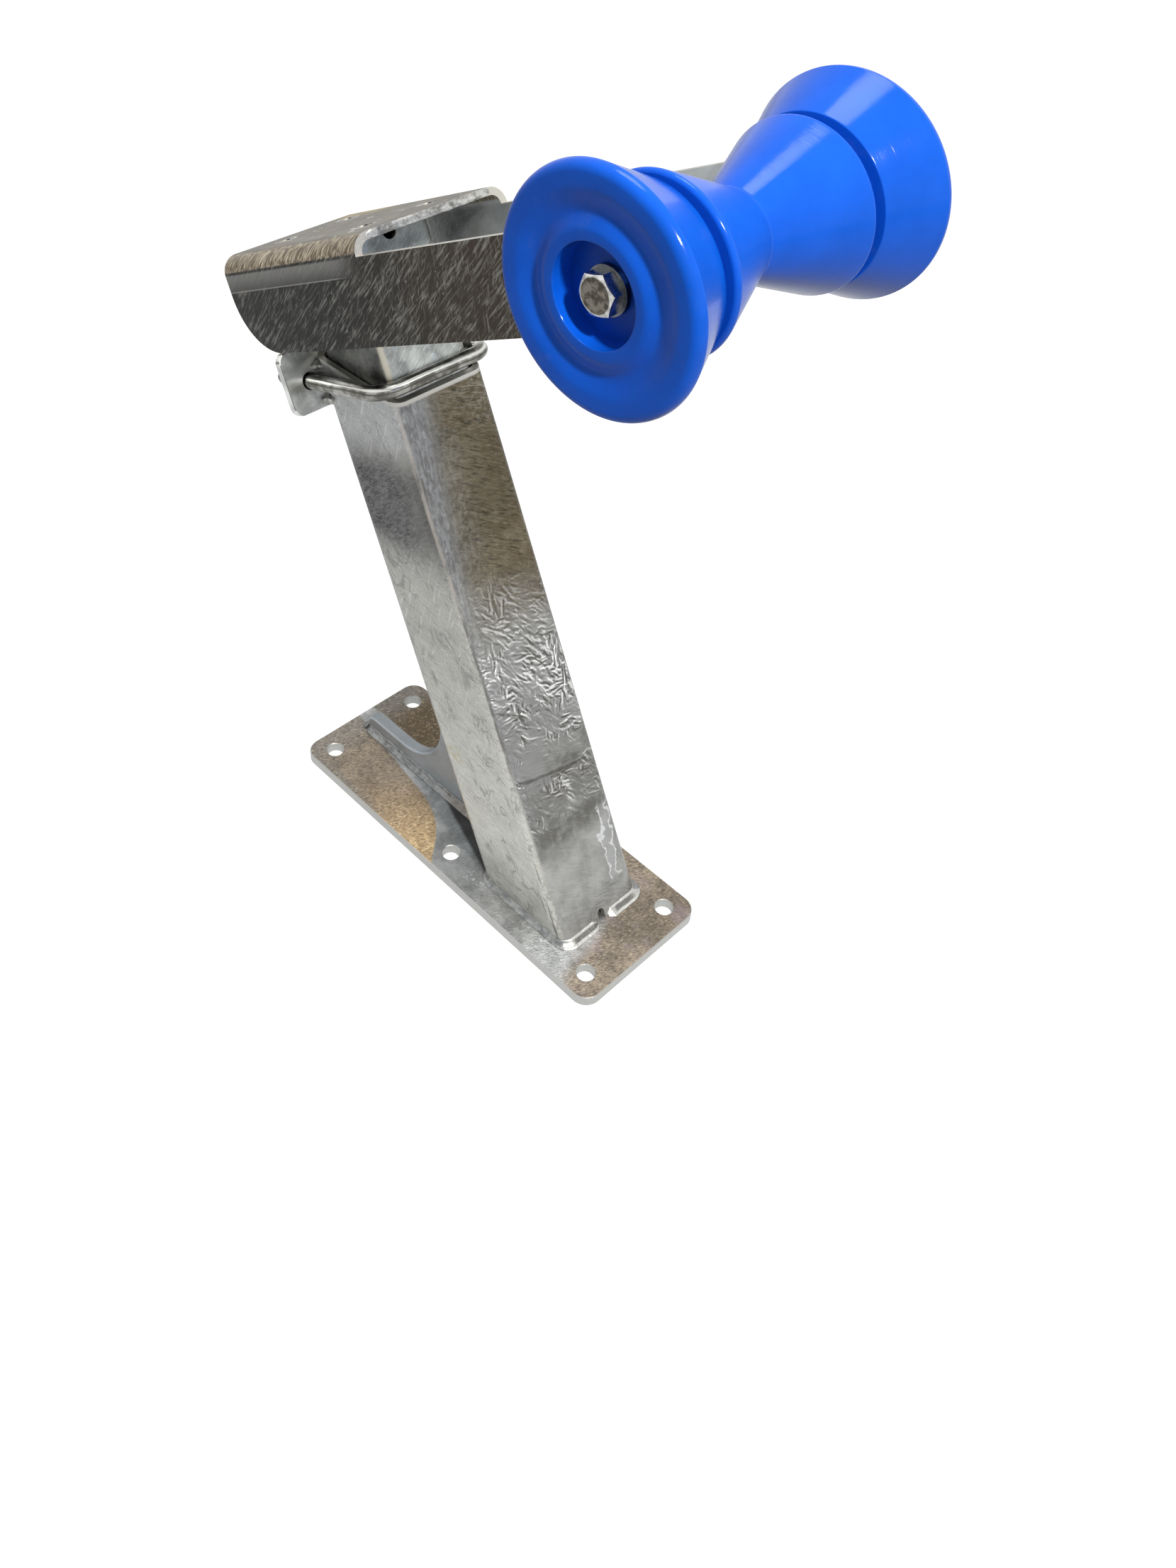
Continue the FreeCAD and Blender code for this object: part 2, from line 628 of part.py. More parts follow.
def centre_roller():
    """Bow roller: two straight flares that meet in a rounded waist."""
    half = ROLLER_L / 2
    flare = math.radians(ROLLER_FLARE)
    meet_y = ROLLER_WAIST_CURVE_R * math.sin(flare)
    meet_r = ROLLER_WAIST_R + ROLLER_WAIST_CURVE_R * (1 - math.cos(flare))
    end_r = meet_r + (half - meet_y) * math.tan(flare)
    waist = Part.Arc(Vector(meet_r, 0, -meet_y), Vector(ROLLER_WAIST_R, 0, 0), Vector(meet_r, 0, meet_y))
    corners = [
        Vector(meet_r, 0, meet_y),
        Vector(end_r, 0, half),
        Vector(BORE_R, 0, half),
        Vector(BORE_R, 0, -half),
        Vector(end_r, 0, -half),
        Vector(meet_r, 0, -meet_y),
    ]
    edges = [Part.makeLine(a, b) for a, b in zip(corners, corners[1:])]
    edges.append(waist.toShape())
    solid = revolve_profile(edges)
    rims = [edge for edge in solid.Edges if is_circle(edge, end_r)]
    return on_axle(solid.makeFillet(ROLLER_LIP_R, rims))


def is_circle(edge, radius):
    return isinstance(edge.Curve, Part.Circle) and abs(edge.Curve.Radius - radius) < EPS


def left_bell():
    """Bell roller: a flared barrel with a rounded rim, a dished face, a flat boss and a pocket."""
    back = BELL_BACK
    front = BELL_BACK + BELL_L
    crest_r = BELL_RIM_R - BELL_RIM_ROUND
    rim_y = front - BELL_RIM_ROUND
    neck = Vector(crest_r + BELL_RIM_ROUND * BELL_NECK_IN, 0, rim_y - BELL_RIM_ROUND * BELL_NECK_DROP)
    barrel_start = Vector(BELL_BACK_R, 0, back + BELL_EDGE_R)
    flare = neck - barrel_start
    belly = barrel_start + flare * 0.5 + Vector(flare.z, 0, -flare.x).normalize() * -BELL_BARREL_SAG
    valley = Vector(BELL_VALLEY_R, 0, front - BELL_DISH)
    slope_x = BELL_VALLEY_R + BELL_SLOPE_IN * (crest_r - BELL_VALLEY_R)
    slope_foot = Vector(slope_x, 0, front - BELL_SLOPE_DEPTH * BELL_DISH)
    slope_mid = Vector((crest_r + slope_x) / 2, 0, front - BELL_SLOPE_MID_DEPTH * BELL_DISH)
    rise_x = BELL_BOSS_R + BELL_RISE_IN * (BELL_VALLEY_R - BELL_BOSS_R)
    rise = Vector(rise_x, 0, front - BELL_RISE_DEPTH * BELL_DISH)
    crest = Vector(crest_r, 0, front)
    corners = [
        rise,
        Vector(BELL_BOSS_R, 0, front),
        Vector(BELL_POCKET_R, 0, front),
        Vector(BELL_POCKET_R, 0, BELL_FLOOR),
        Vector(BORE_R, 0, BELL_FLOOR),
        Vector(BORE_R, 0, back),
        Vector(BELL_BACK_R - BELL_EDGE_R, 0, back),
    ]
    edges = [Part.makeLine(a, b) for a, b in zip(corners, corners[1:])]
    slant = BELL_EDGE_R * (1 - math.sqrt(0.5))
    back_edge = Vector(BELL_BACK_R - slant, 0, back + slant)
    edges.append(Part.Arc(corners[-1], back_edge, barrel_start).toShape())
    edges.append(Part.Arc(barrel_start, belly, neck).toShape())
    edges.append(Part.Arc(neck, Vector(BELL_RIM_R, 0, rim_y), crest).toShape())
    edges.append(Part.Arc(crest, slope_mid, slope_foot).toShape())
    edges.append(Part.Arc(slope_foot, valley, rise).toShape())
    return on_axle(revolve_profile(edges))


def build():
    foot = foot_weld()
    washer = axle_washer()
    bell = left_bell()
    return {
        "base_plate": base_plate(),
        "outer_post": outer_post(),
        "gusset": gusset(),
        "foot_weld": foot,
        "gusset_weld": gusset_weld(foot),
        "clamp_plate": clamp_plate(),
        "clamp_plate_weld": clamp_plate_weld(),
        "u_bolt": u_bolt(),
        "u_bolt_washers": u_bolt_washers(),
        "u_bolt_nuts": u_bolt_nuts(),
        "inner_post": inner_post(),
        "head_channel": head_channel(),
        "head_weld": head_weld(),
        "axle_bolt": axle_bolt(),
        "left_axle_washer": washer,
        "right_axle_washer": mirrored(washer),
        "axle_nut": axle_nut(),
        "axle_nut_ring": nut_ring(),
        "centre_roller": centre_roller(),
        "left_bell_roller": bell,
        "right_bell_roller": mirrored(bell),
    }


os.makedirs("parts", exist_ok=True)
for name, shape in build().items():
    shape.exportStep(f"parts/{name}.step")
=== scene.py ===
import json
import math
import bpy
from mathutils import Matrix, Vector, noise


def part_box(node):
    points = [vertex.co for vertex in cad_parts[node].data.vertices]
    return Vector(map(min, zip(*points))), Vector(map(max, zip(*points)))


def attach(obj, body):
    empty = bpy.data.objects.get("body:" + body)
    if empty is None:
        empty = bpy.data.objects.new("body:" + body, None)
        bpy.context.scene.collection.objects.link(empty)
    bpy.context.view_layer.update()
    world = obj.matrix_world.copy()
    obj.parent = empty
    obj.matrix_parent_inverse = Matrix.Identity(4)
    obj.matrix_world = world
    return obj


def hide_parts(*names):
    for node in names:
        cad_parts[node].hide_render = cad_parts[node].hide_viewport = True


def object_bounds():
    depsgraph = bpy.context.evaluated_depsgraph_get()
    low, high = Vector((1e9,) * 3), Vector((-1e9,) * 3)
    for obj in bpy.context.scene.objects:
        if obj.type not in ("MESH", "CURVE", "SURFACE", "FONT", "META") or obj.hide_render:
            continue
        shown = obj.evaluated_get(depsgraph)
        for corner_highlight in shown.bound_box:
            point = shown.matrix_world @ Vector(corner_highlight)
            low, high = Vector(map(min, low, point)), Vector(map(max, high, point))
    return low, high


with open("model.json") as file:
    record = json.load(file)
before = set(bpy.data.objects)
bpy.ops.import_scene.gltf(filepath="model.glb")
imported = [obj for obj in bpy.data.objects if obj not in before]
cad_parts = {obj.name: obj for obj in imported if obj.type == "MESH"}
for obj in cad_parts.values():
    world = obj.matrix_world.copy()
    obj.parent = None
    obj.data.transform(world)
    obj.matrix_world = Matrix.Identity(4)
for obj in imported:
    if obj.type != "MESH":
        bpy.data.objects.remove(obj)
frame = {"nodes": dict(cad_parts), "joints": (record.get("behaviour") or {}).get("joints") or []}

CAD_LOW, CAD_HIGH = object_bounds()
MM = 0.001

# Camera, set where the photograph was taken from
CAMERA_AT = Vector((0.50374, -0.49519, 0.82884))
CAMERA_LOOK = Vector((-0.57569, 0.57232, -0.58398))
CAMERA_ROLL = math.radians(2.27)
CAMERA_LENS = 32.216
CAMERA_SHIFT = (0.05, -0.19)

# Places on the winch post, worked out from the frame
JOINTS = {joint["name"]: joint for joint in frame["joints"]}
POST_UP = Vector(JOINTS["head_slide"]["axis"]).normalized()
POST_OUT = Vector((POST_UP.z, 0, -POST_UP.x))
LEFT = Vector((0, 1, 0))
UP = Vector((0, 0, 1))
AXLE = Vector(JOINTS["bow_roller_spin"]["pos_m"])
PLATE_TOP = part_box("base_plate")[1].z
POST_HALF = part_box("outer_post")[1].y
POST_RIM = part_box("outer_post")[1].z
POST_FOOT = Vector((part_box("outer_post")[1].x - POST_HALF / POST_UP.z, 0, PLATE_TOP))
INNER_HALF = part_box("inner_post")[1].y
HEAD_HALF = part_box("head_channel")[1].y
GUSSET_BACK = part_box("gusset")[0].x
GUSSET_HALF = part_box("gusset")[1].y


def on_post(out, left, up):
    """A place in the post's own frame, in millimetres: out of its front, to its left, up its length."""
    return POST_FOOT + POST_OUT * (out * MM) + LEFT * (left * MM) + POST_UP * (up * MM)


def up_post(place):
    """How far a place is up the post's length, in millimetres from its foot."""
    return (place - POST_FOOT).dot(POST_UP) / MM


HEAD_TOP = max(up_post(Vector(v.co)) for v in frame["nodes"]["head_channel"].data.vertices)


class Field:
    """A number, colour or direction over a surface. Arithmetic on it adds the nodes that work it out."""

    def __init__(self, finish, socket):
        self.finish = finish
        self.socket = socket

    def _math(self, operation, *values):
        return self.finish.node("Math", {"operation": operation}, dict(enumerate(values)))

    def __add__(self, other):
        return self._math("ADD", self, other)

    def __sub__(self, other):
        return self._math("SUBTRACT", self, other)

    def __rsub__(self, other):
        return self._math("SUBTRACT", other, self)

    def __mul__(self, other):
        return self._math("MULTIPLY", self, other)

    def __truediv__(self, other):
        return self._math("DIVIDE", self, other)

    def __abs__(self):
        return self._math("ABSOLUTE", self)

    __radd__ = __add__
    __rmul__ = __mul__

    def at_least(self, other):
        return self._math("MAXIMUM", self, other)

    def at_most(self, other):
        return self._math("MINIMUM", self, other)

    def rise(self, low, high):
        """0 below low, 1 above high, and smooth between; it falls where high is the lower one."""
        settings = {"interpolation_type": "SMOOTHSTEP"}
        return self.finish.node("MapRange", settings, {0: self, 1: low, 2: high, 3: 0.0, 4: 1.0})

    def along(self, direction):
        return self.finish.node("VectorMath", {"operation": "DOT_PRODUCT"}, {0: self, 1: direction}, 1)

    def times(self, factors):
        return self.finish.node("VectorMath", {"operation": "MULTIPLY"}, {0: self, 1: factors})

    def plus(self, offset):
        return self.finish.node("VectorMath", {"operation": "ADD"}, {0: self, 1: offset})

    def length(self):
        return self.finish.node("VectorMath", {"operation": "LENGTH"}, {0: self}, 1)


class Finish:
    """One material and the nodes that make it."""

    def __init__(self, name):
        self.material = bpy.data.materials.new(name)
        self.material.use_nodes = True
        self.tree = self.material.node_tree
        self.shader = self.tree.nodes["Principled BSDF"]
        self.place = self.node("TexCoord", {}, {}, "Object")
        self.facing = self.node("TexCoord", {}, {}, "Normal")

    def node(self, kind, settings, values, output=0):
        """Adds a node, gives it its settings, then the values or links of its sockets."""
        made = self.tree.nodes.new("ShaderNode" + kind)
        for name, value in settings.items():
            setattr(made, name, value)
        for name, value in values.items():
            if isinstance(value, Field):
                self.tree.links.new(value.socket, made.inputs[name])
            else:
                made.inputs[name].default_value = value
        return Field(self, made.outputs[output])

    def set(self, **values):
        """Sets the shader's sockets; an underscore in a name stands for a space."""
        for name, value in values.items():
            socket = self.shader.inputs[name.replace("_", " ")]
            if isinstance(value, Field):
                self.tree.links.new(value.socket, socket)
            else:
                socket.default_value = value
        return self.material

    def noise(self, place, size, detail=2.0, rough=0.5, twist=0.0):
        """Smooth noise from 0 to 1, whose patches are about size metres across."""
        values = {"Vector": place, "Scale": 1 / size, "Detail": detail}
        values.update({"Roughness": rough, "Distortion": twist})
        return self.node("TexNoise", {}, values)

    def strokes(self, place, direction, width, length, detail=2.0, twist=0.0):
        """Noise drawn out along a direction into strokes of a width and a length in metres."""
        along = Vector(direction).normalized()
        side = along.orthogonal().normalized()
        parts = {0: place.along(along) * (width / length)}
        parts.update({1: place.along(side), 2: place.along(along.cross(side))})
        return self.noise(self.node("CombineXYZ", {}, parts), width, detail, 0.5, twist)

    def mix(self, mask, first, second):
        """The first colour where the mask is 0 and the second where it is 1."""
        sockets = {0: mask, 6: colour(first), 7: colour(second)}
        return self.node("Mix", {"data_type": "RGBA"}, sockets, 2)

    def scale(self, tone, factor):
        """A colour made lighter or darker by a factor that varies."""
        return self.node("VectorMath", {"operation": "SCALE"}, {0: tone, 3: factor})

    def slope(self, kind, place, step, *values):
        """How a pattern climbs over a small step, from about -0.5 to 0.5: its lit and shaded sides."""
        return kind(place.plus(step), *values) - kind(place, *values)

    def bump(self, height, distance, strength=1.0):
        return self.node("Bump", {}, {"Height": height, "Distance": distance, "Strength": strength})

    def post_place(self):
        """The place in the post's own frame: x out of its front, y to its left, z up its length."""
        local = self.place.plus(-POST_FOOT)
        parts = {0: local.along(POST_OUT), 1: local.along(LEFT), 2: local.along(POST_UP)}
        return self.node("CombineXYZ", {}, parts)


def colour(value):
    """A field as it is, and a colour with its fourth number added."""
    return value if isinstance(value, Field) else (*value, 1.0)


# Colours of the metal and the plastics, as linear red, green and blue
BRIGHT_ZINC = (0.78, 0.79, 0.79)

# The outer post's sides
SIDE_GREY = (0.52, 0.525, 0.49)
UPPER_SIDE_GREY = (0.50, 0.51, 0.515)
SIDE_SCORE_LIGHT = (0.82, 0.82, 0.79)
SIDE_SCORE_DARK = (0.27, 0.27, 0.26)
SIDE_CRACK = (0.19, 0.19, 0.18)
SIDE_STAIN = (0.58, 0.53, 0.36)
# A painted dark reflection in a band below the rim, with hairs across it
REFLECTED_BAND_DARK = (0.044, 0.045, 0.048)
REFLECTED_BAND_GREY = (0.175, 0.176, 0.178)
REFLECTED_BAND_BY_CORNER = (0.19, 0.185, 0.175)

# Its front: a painted brown reflection above, crumpled zinc below with the painted light, shade and
# highlights of its folds, grey at the foot
FRONT_BROWN_REFLECTION = (0.135, 0.106, 0.062)
FRONT_OLIVE_REFLECTION = (0.190, 0.164, 0.108)
FRONT_DARK = (0.040, 0.034, 0.024)
FRONT_HAIR = (0.34, 0.31, 0.25)
FRONT_LEVEL_HAIR = (0.40, 0.38, 0.32)
FRONT_SPECKLE_DARK = (0.13, 0.120, 0.092)
FRONT_SPECKLE_LIGHT = (0.36, 0.355, 0.315)
FRONT_TOP_GLINT = (0.46, 0.45, 0.40)
FRONT_GREY = (0.165, 0.164, 0.150)
FRONT_LIGHT_GREY = (0.30, 0.30, 0.285)
FRONT_SMOOTH = (0.32, 0.325, 0.32)
FRONT_GREY_HAIR = (0.55, 0.555, 0.54)
FRONT_SHINE = (0.85, 0.86, 0.85)
FOLD_SHADE = (0.120, 0.115, 0.104)
FOLD_GREY = (0.29, 0.292, 0.285)
FOLD_PALE = (0.48, 0.49, 0.48)
FOLD_HIGHLIGHT = (0.95, 0.95, 0.95)
CREASE_SHADE = (0.05, 0.046, 0.040)
UNDER_CREASE_SHADE = (0.115, 0.105, 0.085)
FOOT_GREY = (0.31, 0.313, 0.303)
FOOT_LIGHT_GREY = (0.48, 0.484, 0.47)
FOOT_STREAK = (0.50, 0.505, 0.49)
ZINC_RUN = (0.60, 0.62, 0.63)
ZINC_RUN_RIM = (0.85, 0.87, 0.88)

# Its corners and rim, with painted highlights along the corners and the rim
CORNER_HIGHLIGHT_CREAM = (0.62, 0.57, 0.52)
CORNER_DARK = (0.11, 0.105, 0.105)
CORNER_LINE = (0.12, 0.12, 0.115)
STRIP_DARK = (0.20, 0.205, 0.215)
STRIP_LIGHT = (0.40, 0.412, 0.435)
STRIP_SPARKLE = (0.85, 0.88, 0.92)
RIM_HIGHLIGHT = (0.62, 0.61, 0.57)

# Base plate and gusset
PLATE_BROWN = (0.21, 0.176, 0.138)
PLATE_BRONZE = (0.33, 0.272, 0.208)
PLATE_OCHRE = (0.66, 0.465, 0.262)
PLATE_HOT_GOLD_GLINT = (1.0, 0.76, 0.42)
PLATE_GOLD_GLINT = (0.95, 0.78, 0.50)
PLATE_DARK = (0.085, 0.068, 0.048)
PLATE_FAR_SHADOW = (0.085, 0.060, 0.032)
PLATE_TAIL = (0.235, 0.228, 0.215)
PLATE_PINK = (0.34, 0.27, 0.29)
PLATE_GREY = (0.28, 0.284, 0.278)
PLATE_LIGHT_GREY = (0.54, 0.545, 0.535)
PLATE_SHADE = (0.18, 0.18, 0.175)
PLATE_POST_SHADOW = (0.030, 0.027, 0.022)
PLATE_LIT_EDGE = (0.60, 0.61, 0.59)
PLATE_ARRIS_HIGHLIGHT = (0.55, 0.55, 0.53)
GUSSET_GREY = (0.49, 0.545, 0.59)
GUSSET_LIGHT = (0.64, 0.70, 0.76)
GUSSET_TAIL = (0.60, 0.63, 0.65)

# Head: its arms, painted with a dark reflection, the band and the line under the fold, the fold, the web,
# and the inside, painted lighter as lit
ARM_REFLECTED_BLACK = (0.010, 0.010, 0.009)
ARM_REFLECTED_DARK = (0.026, 0.0245, 0.020)
ARM_REFLECTED_BROWN = (0.062, 0.045, 0.029)
ARM_SCRATCH = (0.36, 0.355, 0.33)
ARM_CROSSED = (0.38, 0.37, 0.345)
ARM_BRIGHT_SCRATCH = (0.52, 0.515, 0.49)
ARM_STEEP_SCRATCH = (0.36, 0.35, 0.32)
ARM_CHIP = (0.50, 0.50, 0.48)
BAND_LOW = (0.085, 0.084, 0.080)
BAND_HIGH = (0.24, 0.238, 0.225)
BAND_LINE = (0.45, 0.44, 0.41)
FOLD_BROWN = (0.15, 0.115, 0.075)
FOLD_TAN = (0.52, 0.445, 0.325)
FOLD_CREAM = (0.95, 0.86, 0.68)
WEB_BROWN = (0.100, 0.087, 0.062)
WEB_GREY = (0.205, 0.188, 0.148)
WEB_RUST = (0.170, 0.118, 0.085)
WEB_GOLD = (0.48, 0.37, 0.13)
WEB_GLINT = (0.90, 0.90, 0.86)
INSIDE_LIT_GREY = (0.40, 0.415, 0.42)
INSIDE_LIT_LIGHT = (0.64, 0.66, 0.665)
INSIDE_LIT_ARM = (0.78, 0.81, 0.80)
HEAD_SAWN = (0.62, 0.60, 0.54)
ARM_EDGE = (0.52, 0.51, 0.46)

# Inner post: its sides painted darker as shade, and a painted highlight on its corners
INNER_SHADE_DARK = (0.070, 0.075, 0.070)
INNER_SHADE_SIDE = (0.22, 0.225, 0.21)
INNER_GREY = (0.29, 0.305, 0.295)
INNER_LIGHT = (0.56, 0.59, 0.57)
INNER_SMUDGE = (0.60, 0.66, 0.72)
INNER_CORNER_HIGHLIGHT = (0.70, 0.66, 0.55)

# Fasteners, clamp plate and welds
FASTENER_ZINC = ((0.44, 0.44, 0.405), (0.15, 0.145, 0.125))
CLAMP_ZINC = ((0.90, 0.92, 0.90), (0.60, 0.615, 0.60))
# Washers in the bell pockets, painted dark as shade
WASHER_SHADED_ZINC = ((0.17, 0.18, 0.19), (0.060, 0.066, 0.075))
# Painted reflection bands on the zinc, dark and light
ZINC_REFLECTED_DARK_LINE = (0.085, 0.080, 0.068)
ZINC_HIGHLIGHT_LINE = (0.92, 0.92, 0.88)
BOLT_GREY = (0.46, 0.46, 0.44)
BOLT_LIGHT = (0.80, 0.80, 0.78)
BOLT_END_DARK = (0.075, 0.068, 0.055)
BOLT_END_LIGHT = (0.24, 0.22, 0.185)
WELD_DULL = (0.20, 0.205, 0.205)
WELD_DULL_LIGHT = (0.36, 0.37, 0.365)
WELD_BROWN = (0.20, 0.165, 0.135)
WELD_GREY = (0.26, 0.26, 0.245)
WELD_BRIGHT = (0.60, 0.60, 0.57)
WELD_TWIN_DARK = (0.19, 0.187, 0.175)
WELD_TWIN_LIGHT = (0.62, 0.62, 0.59)

# Rollers and the nut's ring
BLUE = (0.003, 0.114, 0.72)
BLUE_LIGHT = (0.005, 0.132, 0.82)
BLUE_SMUDGE = (0.20, 0.24, 0.42)
BLUE_WORN = (0.30, 0.42, 0.75)
BLUE_POCKET_SHADE = (0.001, 0.005, 0.030)
NYLON_GREY = (0.70, 0.71, 0.68)
NYLON_WHITE = (0.82, 0.82, 0.79)

# Where the finish of the post changes, in metres up its length: from none to all of it
UPPER_SIDE = (0.335, 0.360)
SIDE_LIGHTER = (0.230, 0.090)
BAND_START = (0.258, 0.300)
BAND_END = (0.364, 0.330)
STAIN_AT = (0.124, -0.0215)
BROWN_START = (0.186, 0.222)
HATCHING_START = (0.186, 0.205)
HATCHING_END = (0.262, 0.222)
CRUMPLED_START = (0.112, 0.136)
CRUMPLED_END = (0.232, 0.172)
SMOOTH_START = (0.098, 0.102)
SMOOTH_END = (0.138, 0.130)
CREASE_AT = 0.1037
CREASE_FALL = 0.231
FOOT_START = (0.058, 0.042)
RUN_AT = 0.0235
RUN_START = (0.002, 0.007)
RUN_END = (0.064, 0.056)

# The four winch holes in the head's web, in metres from its middle
WINCH_HOLES = [(out * MM, left * MM) for out in (-45, 45) for left in (-25, 25)]


def post_side_tone(f, p):
    """Pale grey with fine cracks and painted light and shade of small dents, growing lighter towards the
    foot as painted light, with a painted dark reflection in a band below the rim and a smooth blue-grey
    top.
    """
    height = p.along(UP)
    out = p.along((1, 0, 0))
    drift = f.noise(p, 0.045, 3.0) - 0.5
    cloud = f.noise(p, 0.016, 5.0, 0.65)
    tone = f.mix((height + drift * 0.03).rise(*UPPER_SIDE), SIDE_GREY, UPPER_SIDE_GREY)
    # Painted light and shade of small dents, from how a noise climbs over a small step
    dent_shading = f.slope(f.noise, p, (0.0008, 0, 0.0008), 0.0045, 4.0, 0.65, 1.0)
    # Painted light: the sides grow lighter towards the foot
    lighter = height.rise(*SIDE_LIGHTER) * 0.32 + 1.0
    tone = f.scale(tone, (cloud * 0.56 + dent_shading * 0.8 + 0.71) * lighter)
    scored = f.strokes(p, (0.62, 0.0, 0.78), 0.0017, 0.024, 3.0, 0.8)
    scored_back = f.strokes(p, (-0.80, 0.0, 0.60), 0.0017, 0.020, 3.0, 0.8)
    tone = f.mix(scored.rise(0.57, 0.70) * 0.50, tone, SIDE_SCORE_LIGHT)
    tone = f.mix(scored_back.rise(0.43, 0.30) * 0.44, tone, SIDE_SCORE_DARK)
    crackle = f.noise(p.times((1, 1, 0.6)), 0.016, 3.0, 0.6, 1.0)
    cracks = abs(crackle - 0.5).rise(0.042, 0.008) * f.noise(p, 0.028, 2.0).rise(0.48, 0.60)
    tone = f.mix(cracks * 0.50, tone, SIDE_CRACK)

    # Painted dark reflection in a band below the rim
    band_level = height + drift * 0.024 + out * 0.22
    band = band_level.rise(*BAND_START) * band_level.rise(*BAND_END)
    hairs = f.strokes(p, (0.95, 0.0, 0.30), 0.0014, 0.006, 4.0, 1.0)
    band_tone = f.mix(hairs.rise(0.36, 0.66), REFLECTED_BAND_DARK, REFLECTED_BAND_GREY)
    band_tone = f.mix(out.rise(0.006, 0.030) * 0.50, band_tone, REFLECTED_BAND_BY_CORNER)
    tone = f.mix(band * (cloud * 0.5 + 0.66).at_most(1.0), tone, band_tone)

    specks = f.noise(p.plus((0, 0, 0.7)), 0.0016, 2.0).rise(0.70, 0.76)
    spot = abs(height - STAIN_AT[0]).at_least(abs(out - STAIN_AT[1])).rise(0.009, 0.003)
    stained = spot * f.noise(p, 0.003, 3.0).rise(0.42, 0.56)
    return f.mix((specks * 0.4).at_least(stained * 0.7), tone, SIDE_STAIN)


